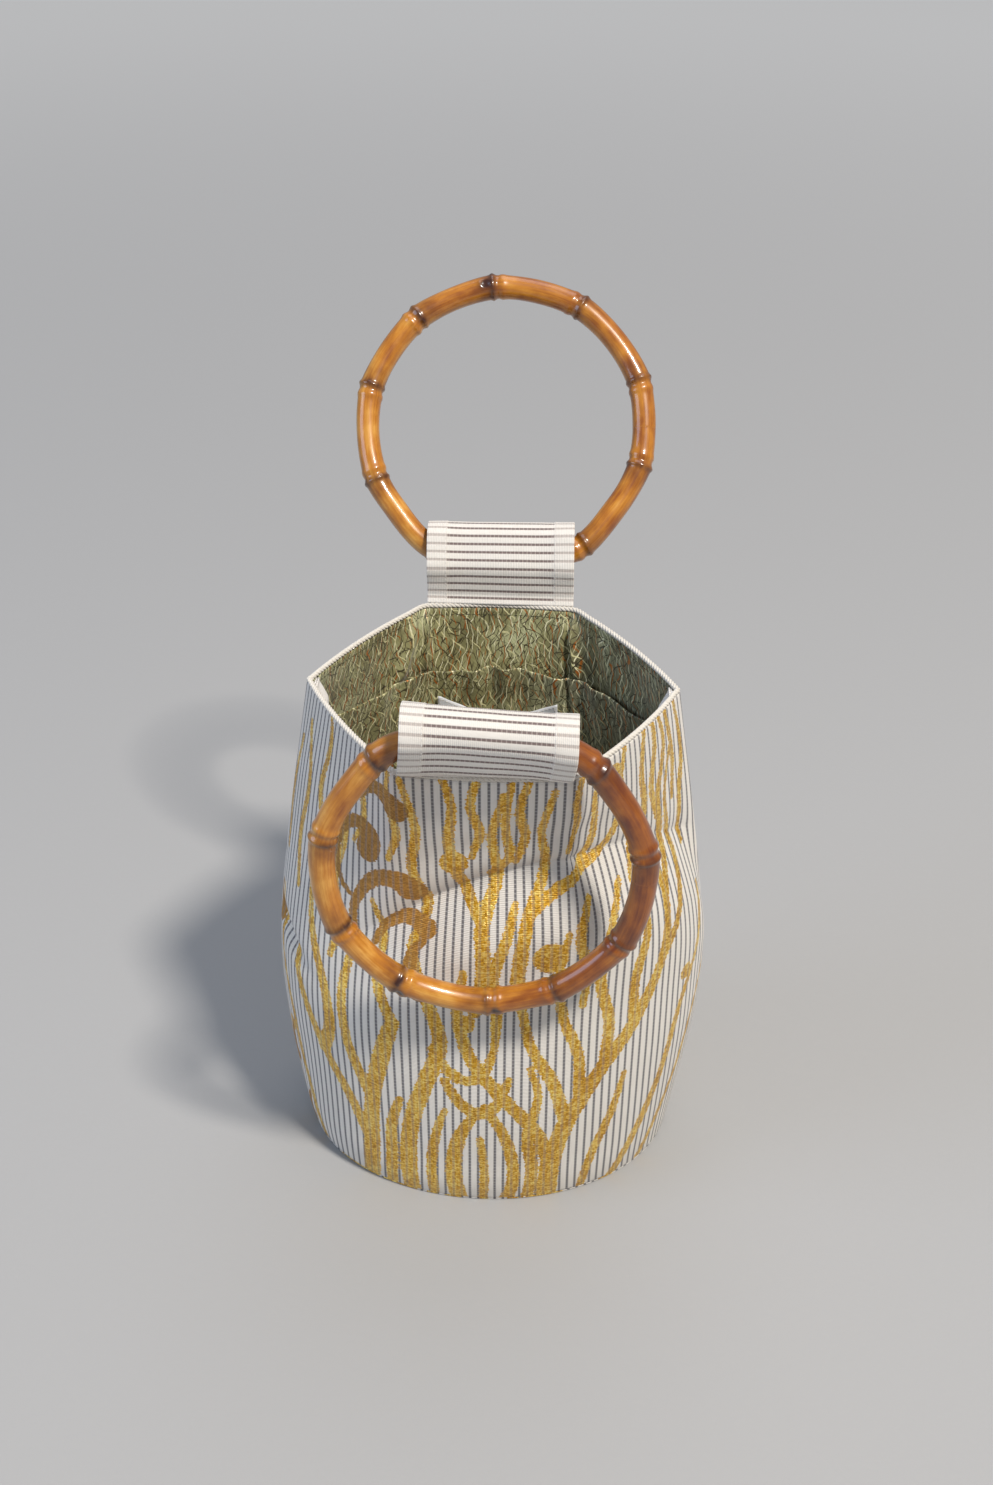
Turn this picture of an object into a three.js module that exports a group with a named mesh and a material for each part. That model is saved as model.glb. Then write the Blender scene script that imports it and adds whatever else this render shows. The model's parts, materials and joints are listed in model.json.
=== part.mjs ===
// A small handbag of open-weave brocade with two bamboo ring handles.
// It stands on its oval base. The origin is the centre of the underside,
// +Z is up, the front faces -Y, and +X is on the right seen from the front.
// Millimetres.
import * as THREE from 'three';

// Body
const bagHeight = 245;
const mouthWidth = 170;
const mouthDepth = 164;
const bellyWidth = 208;
const bellyDepth = 158;
const bellyHeight = 105;
const deepestHeight = 63;
const baseWidth = 178;
const baseDepth = 148;
const baseEdgeHeight = 9;
const baseEdgeFlareWidth = 4.5;
const baseEdgeFlareDepth = 3;
const waistDepth = 148;
const waistHeight = 165;

// Cloth and board
const outerCloth = 1.2;
const liningCloth = 0.8;
const boardThickness = 2;
const seat = 0.3;
const pipingDiameter = 2.2;

// Handles
const ringOuterDiameter = 150;
const caneDiameter = 12;
const jointSwelling = 0.9;
const jointHalfLength = 3.5;
const tabWidth = 72;
const tabBandLength = 25.8;
const tabCloth = 0.9;
const tabSewnLength = 3;
const frontTabLean = 22.5;
const backTabLean = 33;

// Pocket and label
const pocketTopHeight = 216;
const pocketHeight = 118;
const pocketCloth = 0.8;
const pocketGape = 9;
const pocketReach = 0.86;
const labelWidth = 64;
const labelHeight = 34;
const labelCloth = 0.5;
const labelDrop = 22;

// Side tabs and D-rings
const sideTabWidth = 9;
const sideTabLength = 13;
const sideTabCloth = 0.8;
const sideTabSewnLength = 4;
const dRingWidth = 16;
const dRingHeight = 13;
const dRingWire = 2;

// Running and sewing clearances
const caneClearance = 1;
const wireClearance = 0.4;

// Shape of the outline, the pocket and the D-ring's bow
const mouthStraightness = 0.7;
const gapeExponent = 3;
const bowFullness = 1.25;

// How finely the shapes are drawn
const columns = 24;
const flatColumns = 4;
const levelShares = [0, 0.04, 0.12, 0.24, 0.36, 0.48, 0.6, 0.72, 0.82, 0.91, 1];
const bisections = 30;
const caneSides = 8;
const caneStationSpacing = 7;
const fewestCaneStations = 4;
const pipingSides = 6;
const wireSides = 6;
const wireStations = 26;
const handleTabArcs = 7;
const sideTabArcs = 6;

const halfTurn = Math.PI;
const radians = THREE.MathUtils.degToRad;

const outerColor = 0xe9e1da;
const liningColor = 0x8c8f66;
const pipingColor = 0xd8d2c8;
const bambooColor = 0xb8701a;
const metalColor = 0x3c3f44;
const boardColor = 0x6b5a45;
const labelColor = 0xe6e7ea;

const cloth = (color) => new THREE.MeshStandardMaterial({ color, roughness: 0.85, metalness: 0 });
const materials = {
  outer: cloth(outerColor),
  lining: cloth(liningColor),
  piping: cloth(pipingColor),
  label: cloth(labelColor),
  board: new THREE.MeshStandardMaterial({ color: boardColor, roughness: 0.9, metalness: 0 }),
  bamboo: new THREE.MeshStandardMaterial({ color: bambooColor, roughness: 0.25, metalness: 0 }),
  metal: new THREE.MeshStandardMaterial({ color: metalColor, roughness: 0.3, metalness: 1 }),
};

const bag = new THREE.Group();

function addPiece(name, geometry, material, parent = bag) {
  const mesh = new THREE.Mesh(geometry, material);
  mesh.name = name;
  parent.add(mesh);
  return mesh;
}

// The bag's half width and half depth, as smooth curves over its height.
const widthProfile = new THREE.SplineCurve([
  new THREE.Vector2(0, baseWidth / 2),
  new THREE.Vector2(baseEdgeHeight, baseWidth / 2 + baseEdgeFlareWidth),
  new THREE.Vector2(bellyHeight, bellyWidth / 2),
  new THREE.Vector2(bagHeight, mouthWidth / 2),
]);
const depthProfile = new THREE.SplineCurve([
  new THREE.Vector2(0, baseDepth / 2),
  new THREE.Vector2(baseEdgeHeight, baseDepth / 2 + baseEdgeFlareDepth),
  new THREE.Vector2(deepestHeight, bellyDepth / 2),
  new THREE.Vector2(waistHeight, waistDepth / 2),
  new THREE.Vector2(bagHeight, mouthDepth / 2),
]);

// How far from 0 to 1 a condition holds.
function holdsUpTo(condition) {
  let low = 0;
  let high = 1;
  for (let step = 0; step < bisections; step += 1) {
    const middle = (low + high) / 2;
    if (condition(middle)) low = middle;
    else high = middle;
  }
  return low;
}

function profileAt(profile, height) {
  const point = new THREE.Vector2();
  return profile.getPoint(holdsUpTo((t) => profile.getPoint(t, point).x < height), point).y;
}

// The outer face of the bag is a grid. Its columns run along each half of the
// outline, from the left seam (-1) over the middle (0) to the right seam (1),
// and its levels run from the foot to the mouth. The mouth is held out flat by
// the tab and runs almost straight from there to each side corner. The belly
// is an oval.
const halfColumns = columns / 2;
const flatShare = flatColumns / halfColumns;
const levels = levelShares.map((share) => share * bagHeight);

function outlinePoint(along, height) {
  const halfWidth = profileAt(widthProfile, height);
  const halfDepth = profileAt(depthProfile, height);
  const oval = new THREE.Vector2(
    halfWidth * Math.sin(along * halfTurn / 2),
    halfDepth * Math.cos(along * halfTurn / 2),
  );
  const reach = Math.abs(along);
  const slope = Math.max(0, (reach - flatShare) / (1 - flatShare));
  const flat = Math.min(1, reach / flatShare) * tabWidth / 2;
  const cornered = new THREE.Vector2(
    Math.sign(along) * THREE.MathUtils.lerp(flat, halfWidth, slope),
    halfDepth * (1 - slope),
  );
  const straightening = Math.max(0, (height - bellyHeight) / (bagHeight - bellyHeight));
  return oval.lerp(cornered, straightening * mouthStraightness);
}

// Each grid point holds its place and how it moves for each millimetre inwards,
// so that every layer of cloth keeps its true distance from the next.
function outlineRow(height) {
  const outer = [];
  for (let i = 0; i <= columns; i += 1) outer.push(outlinePoint(i / halfColumns - 1, height));
  return outer.map((place, i) => {
    const mirrored = (point) => new THREE.Vector2(point.x, -point.y);
    const before = i > 0 ? outer[i - 1] : mirrored(outer[1]);
    const after = i < columns ? outer[i + 1] : mirrored(outer[columns - 1]);
    const inwards = (from, to) => new THREE.Vector2(to.y - from.y, from.x - to.x).normalize();
    const first = inwards(before, place);
    const mitre = first.clone().add(inwards(place, after)).normalize();
    return { place, mitre: mitre.divideScalar(mitre.dot(first)) };
  });
}
const grid = levels.map(outlineRow);

function span(values, value) {
  const last = values.length - 2;
  const found = values.findIndex((entry) => entry > value) - 1;
  const index = found < 0 ? last : Math.min(found, last);
  return { index, part: (value - values[index]) / (values[index + 1] - values[index]) };
}
const alongs = Array.from({ length: columns + 1 }, (_, i) => i / halfColumns - 1);

// A point of a layer that lies inset in from the outer face. side is -1 for
// the front half and 1 for the back half.
function wallPoint(along, height, inset, side) {
  const column = span(alongs, along);
  const level = span(levels, height);
  const corner = (j, i) => {
    const { place, mitre } = grid[level.index + j][column.index + i];
    return place.clone().addScaledVector(mitre, inset);
  };
  const lower = corner(0, 0).lerp(corner(0, 1), column.part);
  const upper = corner(1, 0).lerp(corner(1, 1), column.part);
  const flat = lower.lerp(upper, level.part);
  return new THREE.Vector3(flat.x, side * (flat.y + seat / 2), height);
}

function between(values, first, last) {
  return [first, ...values.filter((value) => value > first && value < last), last];
}

function facingOut(geometry) {
  const position = geometry.getAttribute('position');
  const index = geometry.getIndex();
  const a = new THREE.Vector3();
  const b = new THREE.Vector3();
  const c = new THREE.Vector3();
  let volume = 0;
  for (let i = 0; i < index.count; i += 3) {
    a.fromBufferAttribute(position, index.getX(i));
    b.fromBufferAttribute(position, index.getX(i + 1));
    c.fromBufferAttribute(position, index.getX(i + 2));
    volume += a.dot(b.cross(c));
  }
  if (volume < 0) {
    for (let i = 0; i < index.count; i += 3) {
      const first = index.getX(i);
      index.setX(i, index.getX(i + 1));
      index.setX(i + 1, first);
    }
  }
  geometry.computeVertexNormals();
  return geometry;
}

// A piece of cloth with two faces and an edge all round. point(along, height,
// face) gives its outer face (0) and inner face (1).
function clothSheet(alongLines, heightLines, point) {
  const across = alongLines.length - 1;
  const up = heightLines.length - 1;
  const positions = [];
  for (const face of [0, 1]) {
    for (const height of heightLines) {
      for (const along of alongLines) positions.push(...point(along, height, face).toArray());
    }
  }
  const perFace = (across + 1) * (up + 1);
  const at = (face, i, j) => face * perFace + j * (across + 1) + i;
  const triangles = [];
  const quad = (a, b, c, d) => triangles.push(a, b, c, a, c, d);
  for (let j = 0; j < up; j += 1) {
    for (let i = 0; i < across; i += 1) {
      quad(at(0, i, j), at(0, i + 1, j), at(0, i + 1, j + 1), at(0, i, j + 1));
      quad(at(1, i, j), at(1, i, j + 1), at(1, i + 1, j + 1), at(1, i + 1, j));
    }
  }
  for (let i = 0; i < across; i += 1) {
    quad(at(0, i + 1, 0), at(0, i, 0), at(1, i, 0), at(1, i + 1, 0));
    quad(at(0, i, up), at(0, i + 1, up), at(1, i + 1, up), at(1, i, up));
  }
  for (let j = 0; j < up; j += 1) {
    quad(at(0, 0, j), at(0, 0, j + 1), at(1, 0, j + 1), at(1, 0, j));
    quad(at(0, across, j + 1), at(0, across, j), at(1, across, j), at(1, across, j + 1));
  }
  const geometry = new THREE.BufferGeometry();
  geometry.setAttribute('position', new THREE.Float32BufferAttribute(positions, 3));
  geometry.setIndex(triangles);
  return facingOut(geometry);
}

// A closed tube along a flat closed path. normal is the path plane's normal,
// and radiusAt gives the tube's radius at each station of the path.
function closedTube(path, normal, radiusAt, sides) {
  const positions = [];
  path.forEach((centre, i) => {
    const ahead = path[(i + 1) % path.length];
    const behind = path[(i + path.length - 1) % path.length];
    const outward = ahead.clone().sub(behind).normalize().cross(normal);
    for (let k = 0; k < sides; k += 1) {
      const turn = 2 * halfTurn * k / sides;
      const spoke = outward.clone().multiplyScalar(Math.cos(turn))
        .addScaledVector(normal, Math.sin(turn));
      positions.push(...centre.clone().addScaledVector(spoke, radiusAt(i)).toArray());
    }
  });
  const triangles = [];
  for (let i = 0; i < path.length; i += 1) {
    for (let k = 0; k < sides; k += 1) {
      const next = (i + 1) % path.length;
      const beside = (k + 1) % sides;
      const corners = [i * sides + k, next * sides + k, next * sides + beside, i * sides + beside];
      triangles.push(corners[0], corners[1], corners[2], corners[0], corners[2], corners[3]);
    }
  }
  const geometry = new THREE.BufferGeometry();
  geometry.setAttribute('position', new THREE.Float32BufferAttribute(positions, 3));
  geometry.setIndex(triangles);
  return facingOut(geometry);
}

// The base, from the outside in: cloth, stiff board, lining. All three are cut
// to the outline of the foot of the walls.
function ovalPlate(height, thickness, inset) {
  const shape = new THREE.Shape();
  const edge = [];
  for (const side of [-1, 1]) {
    for (const along of alongs.slice(0, -1)) {
      const point = wallPoint(-side * along, 0, inset, side);
      edge.push(new THREE.Vector2(point.x, point.y));
    }
  }
  shape.setFromPoints(edge);
  const geometry = new THREE.ExtrudeGeometry(shape, { depth: thickness, bevelEnabled: false });
  geometry.translate(0, 0, height);
  return geometry;
}

const liningInset = outerCloth + seat;
const boardHeight = outerCloth + seat;
const liningBaseHeight = boardHeight + boardThickness + seat;
const outerWallFoot = outerCloth + seat;
const liningWallFoot = liningBaseHeight + liningCloth + seat;

addPiece('outer_base', ovalPlate(0, outerCloth, 0), materials.outer);
addPiece('base_board', ovalPlate(boardHeight, boardThickness, liningInset), materials.board);
addPiece('lining_base', ovalPlate(liningBaseHeight, liningCloth, liningInset), materials.lining);

// The four walls: outer cloth and lining, front and back, joined at two side seams.
function wall(foot, inset, thickness, side) {
  return clothSheet(
    alongs,
    between(levels, foot, bagHeight),
    (along, height, face) => wallPoint(along, height, inset + face * thickness, side),
  );
}

for (const [name, side] of [['front', -1], ['back', 1]]) {
  addPiece(
    `outer_${name}_panel`,
    wall(outerWallFoot, 0, outerCloth, side),
    materials.outer,
  );
  addPiece(
    `lining_${name}`,
    wall(liningWallFoot, liningInset, liningCloth, side),
    materials.lining,
  );
}

// The piping lies on top of the walls, all round the mouth.
const pipingHeight = bagHeight + seat + pipingDiameter / 2;
const pipingInset = (outerCloth + seat + liningCloth) / 2;
const pipingPath = [];
for (const side of [-1, 1]) {
  for (const along of alongs.slice(0, -1)) {
    const point = wallPoint(-side * along, bagHeight, pipingInset, side);
    pipingPath.push(new THREE.Vector3(point.x, point.y, pipingHeight));
  }
}
const up = new THREE.Vector3(0, 0, 1);
addPiece(
  'rim_piping',
  closedTube(pipingPath, up, () => pipingDiameter / 2, pipingSides),
  materials.piping,
);

// The pocket is a gathered strip on the back lining. It hugs the lining at
// its foot and its ends, and stands open at the top of its middle. The label
// is sewn to its middle, below its hem, and the pocket has a grid line under
// each of the label's edges, so that the two lie flat on each other.
const pocketFoot = pocketTopHeight - pocketHeight;
const liningFace = liningInset + liningCloth;
const labelTop = pocketTopHeight - labelDrop;
const labelFoot = labelTop - labelHeight;

function pocketInset(along, height) {
  const rise = (height - pocketFoot) / pocketHeight;
  const middle = Math.cos(along / pocketReach * halfTurn / 2);
  return liningFace + seat + pocketGape * middle * rise ** gapeExponent;
}

const labelMiddle = (labelTop + labelFoot) / 2;
const labelReach = holdsUpTo((along) => (
  wallPoint(along, labelMiddle, pocketInset(along, labelMiddle), 1).x < labelWidth / 2
));
const withLines = (values, ...added) => (
  [...new Set([...values, ...added])].sort((a, b) => a - b)
);
const pocketAlongs = withLines(alongs, -labelReach, labelReach);
const pocketLevels = withLines(levels, labelFoot, labelTop);

addPiece('inner_pocket', clothSheet(
  between(pocketAlongs, -pocketReach, pocketReach),
  between(pocketLevels, pocketFoot, pocketTopHeight),
  (along, height, face) => (
    wallPoint(along, height, pocketInset(along, height) + face * pocketCloth, 1)
  ),
), materials.lining);

addPiece('blank_label', clothSheet(
  between(pocketAlongs, -labelReach, labelReach),
  between(pocketLevels, labelFoot, labelTop),
  (along, height, face) => wallPoint(
    along, height, pocketInset(along, height) + pocketCloth + seat + face * labelCloth, 1,
  ),
), materials.label);

// A folded band whose two layers are sewn together at the root, and open into
// a loop round the hole that runs from the low centre to the high centre.
function loopShape(sewnLength, low, high, holeRadius, thickness) {
  const taper = Math.asin(holeRadius / (low - sewnLength));
  const outerRadius = holeRadius + thickness;
  const rootHalf = thickness / Math.cos(taper);
  const outline = (shape, radius, foot) => {
    shape.moveTo(...foot.at(-1));
    shape.lineTo(radius * Math.cos(taper), low - radius * Math.sin(taper));
    shape.absarc(0, low, radius, -taper, 0, false);
    shape.absarc(0, high, radius, 0, halfTurn, false);
    shape.absarc(0, low, radius, halfTurn, halfTurn + taper, false);
    for (const point of foot) shape.lineTo(...point);
    return shape;
  };
  const shape = outline(new THREE.Shape(), outerRadius, [
    [-rootHalf, sewnLength], [-rootHalf, 0], [rootHalf, 0], [rootHalf, sewnLength],
  ]);
  shape.holes.push(outline(new THREE.Path(), holeRadius, [[0, sewnLength]]));
  return shape;
}

// The cane inside a tab is an arc, so the loop is longer than the cane is
// thick by the arc's rise over the tab's width, and by the slant of the cane
// where it leaves the tab, and the tab is longer by the same. Where the ring
// hangs at an angle to its tab, the loop is wider too.
const ringRadius = (ringOuterDiameter - caneDiameter) / 2;
const caneSlant = Math.asin(tabWidth / 2 / ringRadius);
const caneRise = ringRadius * (1 - Math.cos(caneSlant));
const slantAllowance = caneDiameter / 2 * (1 / Math.cos(caneSlant) - 1);
const loopLength = caneRise + 2 * slantAllowance;
const tabRootHeight = pipingHeight + pipingDiameter / 2 + seat
  + tabCloth * Math.sin(radians(Math.max(frontTabLean, backTabLean)));
const tabRootDepth = mouthDepth / 2 - pipingInset;

function tabLoop(turn) {
  const radius = caneDiameter / 2 + caneClearance + caneRise / 2 * Math.sin(radians(turn));
  const low = tabBandLength - tabCloth - radius;
  return { radius, low, high: low + loopLength, pivot: low + loopLength / 2 };
}

function handleTab({ low, high, radius }) {
  const shape = loopShape(tabSewnLength, low, high, radius, tabCloth);
  const geometry = new THREE.ExtrudeGeometry(shape, {
    depth: tabWidth, bevelEnabled: false, curveSegments: handleTabArcs,
  });
  // The shape's height becomes Z and its thickness Y, with the width along X.
  geometry.translate(0, 0, -tabWidth / 2);
  geometry.rotateY(halfTurn / 2);
  geometry.rotateX(halfTurn / 2);
  return geometry;
}

// A bamboo ring: a bent cane with a raised ring at each of its joints, in the
// XZ plane, with its pivot at the origin and its centre above or below that.
function bambooRing(jointAngles, tabAngle) {
  const centre = new THREE.Vector3(0, 0, -Math.sign(Math.sin(radians(tabAngle))))
    .multiplyScalar(ringRadius - caneRise / 2);
  const stations = [];
  const jointSpan = jointHalfLength / ringRadius;
  const start = radians(jointAngles[0]);
  jointAngles.forEach((angle, i) => {
    const here = radians(angle);
    const next = i + 1 < jointAngles.length ? radians(jointAngles[i + 1]) : start + 2 * halfTurn;
    stations.push({ angle: here, swell: jointSwelling });
    const steps = Math.max(
      fewestCaneStations,
      Math.round((next - here) * ringRadius / caneStationSpacing),
    );
    for (let k = 0; k <= steps; k += 1) {
      const along = THREE.MathUtils.lerp(here + jointSpan, next - jointSpan, k / steps);
      stations.push({ angle: along, swell: 0 });
    }
  });
  const path = stations.map(({ angle }) => new THREE.Vector3(
    ringRadius * Math.cos(angle), 0, ringRadius * Math.sin(angle),
  ).add(centre));
  const radiusAt = (i) => caneDiameter / 2 + stations[i].swell;
  return closedTube(path, new THREE.Vector3(0, 1, 0), radiusAt, caneSides);
}

// Each handle: a leaning tab sewn at the mouth, and its ring. The front ring
// hangs straight down, and the back ring stands up in line with its tab.
const frontJoints = [9, 47, 129, 167, 205, 237, 272, 299, 332];
const backJoints = [-54, -16, 20, 59, 97, 130, 165, 205, 241];
const handles = [
  {
    name: 'front', side: -1, lean: frontTabLean, ringLean: 0, joints: frontJoints, tabAngle: 90,
  },
  {
    name: 'back', side: 1, lean: backTabLean, ringLean: backTabLean, joints: backJoints, tabAngle: -90,
  },
];
for (const { name, side, lean, ringLean, joints, tabAngle } of handles) {
  const root = new THREE.Group();
  root.position.set(0, side * tabRootDepth, tabRootHeight);
  root.rotation.x = -side * radians(lean);
  bag.add(root);
  const loop = tabLoop(lean - ringLean);
  addPiece(`${name}_handle_tab`, handleTab(loop), materials.outer, root);

  const pivot = new THREE.Group();
  pivot.position.set(
    0,
    side * (tabRootDepth + loop.pivot * Math.sin(radians(lean))),
    tabRootHeight + loop.pivot * Math.cos(radians(lean)),
  );
  pivot.rotation.x = -side * radians(ringLean);
  bag.add(pivot);
  addPiece(`${name}_bamboo_ring`, bambooRing(joints, tabAngle), materials.bamboo, pivot);
}

// A D-ring: a straight bar with a round bow below it, in the YZ plane, with
// the bar along Y through the origin.
function dRing() {
  const halfBar = (dRingWidth - dRingWire) / 2;
  const bowHeight = dRingHeight - dRingWire;
  const bow = new THREE.Path();
  bow.moveTo(-halfBar, 0);
  bow.lineTo(halfBar, 0);
  const pull = -bowHeight * bowFullness;
  bow.bezierCurveTo(halfBar, pull, -halfBar, pull, -halfBar, 0);
  const points = bow.getSpacedPoints(wireStations).slice(0, -1)
    .map((point) => new THREE.Vector3(0, point.x, point.y));
  return closedTube(points, new THREE.Vector3(1, 0, 0), () => dRingWire / 2, wireSides);
}

// How far from the middle the lining's inner face is where the two walls of a
// corner are this wide apart.
function cornerReach(width, height) {
  const place = (along) => wallPoint(along, height, liningFace, 1);
  return place(holdsUpTo((along) => place(along).y > width / 2)).x;
}

// The side tabs come out of the two corner seams just under the piping. Each
// leans in by as much as its D-ring's width needs to hang clear of the walls.
const wireLoopRadius = dRingWire / 2 + wireClearance;
const barDrop = sideTabLength - wireLoopRadius - sideTabCloth;
const sideTabTop = bagHeight - seat;
const sideTabReach = cornerReach(sideTabWidth, sideTabTop) - sideTabCloth - seat;
const barReach = cornerReach(dRingWidth, bagHeight - barDrop) - dRingWire / 2 - wireClearance;
const sideTabLean = Math.asin((sideTabReach - barReach) / barDrop);
for (const [name, side] of [['left', -1], ['right', 1]]) {
  const shape = loopShape(
    sideTabSewnLength, barDrop, barDrop, wireLoopRadius, sideTabCloth,
  );
  const geometry = new THREE.ExtrudeGeometry(shape, {
    depth: sideTabWidth, bevelEnabled: false, curveSegments: sideTabArcs,
  });
  geometry.translate(0, 0, -sideTabWidth / 2);
  geometry.rotateX(-halfTurn / 2);
  const hanger = new THREE.Group();
  hanger.position.set(side * sideTabReach, 0, sideTabTop);
  hanger.rotation.y = side * sideTabLean;
  bag.add(hanger);
  addPiece(`${name}_side_tab`, geometry, materials.piping, hanger);
  const ring = addPiece(`${name}_d_ring`, dRing(), materials.metal);
  ring.position.set(side * barReach, 0, sideTabTop - barDrop * Math.cos(sideTabLean));
}

export default bag;
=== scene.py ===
# A small handbag of open-weave brocade with two bamboo ring handles. It stands
# on its oval base with the front towards -Y. Shapes are worked out in
# millimetres and made in metres.
import json
import math

import bpy
import numpy as np
from mathutils import Matrix, Vector


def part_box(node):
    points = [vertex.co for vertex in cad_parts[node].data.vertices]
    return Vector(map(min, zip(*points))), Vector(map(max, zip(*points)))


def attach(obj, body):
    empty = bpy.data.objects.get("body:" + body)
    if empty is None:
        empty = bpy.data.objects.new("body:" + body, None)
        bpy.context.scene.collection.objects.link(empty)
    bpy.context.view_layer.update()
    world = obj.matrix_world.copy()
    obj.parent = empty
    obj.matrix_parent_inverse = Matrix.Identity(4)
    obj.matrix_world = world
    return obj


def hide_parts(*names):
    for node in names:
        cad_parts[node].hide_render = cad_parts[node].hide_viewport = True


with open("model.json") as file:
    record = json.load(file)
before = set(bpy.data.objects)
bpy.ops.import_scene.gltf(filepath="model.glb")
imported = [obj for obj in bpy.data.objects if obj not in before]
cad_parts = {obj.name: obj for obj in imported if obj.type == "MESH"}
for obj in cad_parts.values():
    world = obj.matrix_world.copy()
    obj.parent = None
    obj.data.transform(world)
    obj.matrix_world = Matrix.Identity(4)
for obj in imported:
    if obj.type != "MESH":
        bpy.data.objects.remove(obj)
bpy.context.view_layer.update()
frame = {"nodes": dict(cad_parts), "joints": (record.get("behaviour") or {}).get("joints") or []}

MM = 0.001


# Camera: it looks down at the bag from a little to the right of the front,
# with the tilt and the focal length that the two rings' ellipses give.
camera_place = Vector((0.029, -0.7158, 0.6429))
azimuth, elevation, roll = math.radians(2.17), math.radians(30.8), math.radians(0.57)
backwards = Vector((
    math.sin(azimuth) * math.cos(elevation),
    -math.cos(azimuth) * math.cos(elevation),
    math.sin(elevation),
))
camera = bpy.data.objects.new("camera", bpy.data.cameras.new("camera"))
bpy.context.scene.collection.objects.link(camera)
camera.data.sensor_width = 36
camera.data.lens = 43.64
camera.data.clip_start, camera.data.clip_end = 0.01, 50
camera.matrix_world = (
    Matrix.Translation(camera_place)
    @ (-backwards).to_track_quat("-Z", "Y").to_matrix().to_4x4()
    @ Matrix.Rotation(roll, 4, "Z")
)
bpy.context.scene.camera = camera


# Outer cloth: open-weave silk brocade for sashes, white with a slit every
# 4 mm and a pattern of gilt threads. A front and a back panel are cut from it,
# shaped by their side seams and sewn to each other and to the base.
STRIPE = 4.0
PANEL_ROWS, PANEL_COLUMNS = 178, 264


def linear(code):
    """The linear colour of an sRGB hex code."""
    channels = [int(code[i:i + 2], 16) / 255 for i in (1, 3, 5)]
    return (*(c / 12.92 if c <= 0.04045 else ((c + 0.055) / 1.055) ** 2.4 for c in channels), 1.0)


def feed(tree, node, inputs):
    """Gives a node its inputs: each is a value, another node's socket, or a node, for its first output."""
    for key, value in inputs.items():
        if isinstance(value, bpy.types.Node):
            value = value.outputs[0]
        if isinstance(value, bpy.types.NodeSocket):
            tree.links.new(value, node.inputs[key])
        else:
            node.inputs[key].default_value = value


def add(tree, kind, inputs=None, **settings):
    """Adds a node with its settings and its inputs."""
    made = tree.nodes.new(kind)
    for key, value in settings.items():
        setattr(made, key, value)
    feed(tree, made, inputs or {})
    return made


def new_material(name):
    """A material, its node tree and its shader."""
    material = bpy.data.materials.new(name)
    material.use_nodes = True
    return material, material.node_tree, material.node_tree.nodes["Principled BSDF"]


def piece(name, points, faces, material, uv=None, attributes=None, ends=()):
    """A mesh object from points in millimetres, with a UV map in millimetres."""
    mesh = bpy.data.meshes.new(name)
    places = np.asarray(points, float).reshape(-1, 3) * MM
    mesh.from_pydata(places.tolist(), [], np.asarray(faces).tolist() + list(ends))
    if uv is not None:
        corner = np.zeros(len(mesh.loops), int)
        mesh.loops.foreach_get("vertex_index", corner)
        layer = mesh.uv_layers.new(name="UVMap")
        layer.data.foreach_set("uv", np.asarray(uv, np.float32).reshape(-1, 2)[corner].ravel())
    for key, values in (attributes or {}).items():
        made = mesh.attributes.new(key, "FLOAT", "POINT")
        made.data.foreach_set("value", np.asarray(values, np.float32).ravel())
    mesh.polygons.foreach_set("use_smooth", np.ones(len(mesh.polygons), bool))
    mesh.materials.append(material)
    made = bpy.data.objects.new(name, mesh)
    bpy.context.scene.collection.objects.link(made)
    return made


def grid_faces(rows, columns, flip=False, round_columns=False, round_rows=False):
    """Quads of a rows by columns grid of points, which may close on itself."""
    j = np.arange(rows if round_rows else rows - 1)[:, None]
    i = np.arange(columns if round_columns else columns - 1)[None, :]
    following, above = (i + 1) % columns, (j + 1) % rows
    quads = np.stack([
        j * columns + i, j * columns + following, above * columns + following, above * columns + i,
    ], -1).reshape(-1, 4)
    return quads[:, ::-1] if flip else quads


def cubic_weights(knots, at):
    """How much of each knot's value a smooth curve through the knots has at each place."""
    unit = np.eye(len(knots))
    slope = np.gradient(unit, knots, axis=0)
    i = np.clip(np.searchsorted(knots, at, side="right") - 1, 0, len(knots) - 2)
    step = knots[i + 1] - knots[i]
    t = ((at - knots[i]) / step)[:, None]
    return (
        (1 + 2 * t) * (1 - t) ** 2 * unit[i] + t * (1 - t) ** 2 * step[:, None] * slope[i]
        + t * t * (3 - 2 * t) * unit[i + 1] + t * t * (t - 1) * step[:, None] * slope[i + 1]
    )


def outer_face(name):
    """The heights and the outline points (height, column, xy) of a panel's outer face, in millimetres."""
    points = np.array([v.co for v in frame["nodes"][name].data.vertices]) / MM
    points = np.unique(np.round(points, 3), axis=0)
    heights = np.unique(np.round(points[:, 2], 2))
    rows = []
    for height in heights:
        row = points[np.abs(points[:, 2] - height) < 0.02][:, :2]
        row = row[np.argsort(np.arctan2(row[:, 0], np.abs(row[:, 1])))].reshape(-1, 2, 2)
        outer = np.argmax(np.hypot(row[:, :, 0], row[:, :, 1]), axis=1)
        rows.append(row[np.arange(len(row)), outer])
    return heights, np.array(rows)


panel_rows = {-1: outer_face("outer_front_panel"), 1: outer_face("outer_back_panel")}
mouth_height = panel_rows[-1][0][-1]
columns_at = np.linspace(-1, 1, panel_rows[-1][1].shape[1])


def rise(t):
    """0 before 0, 1 after 1, and smooth between."""
    t = np.clip(t, 0, 1)
    return t * t * (3 - 2 * t)


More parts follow.
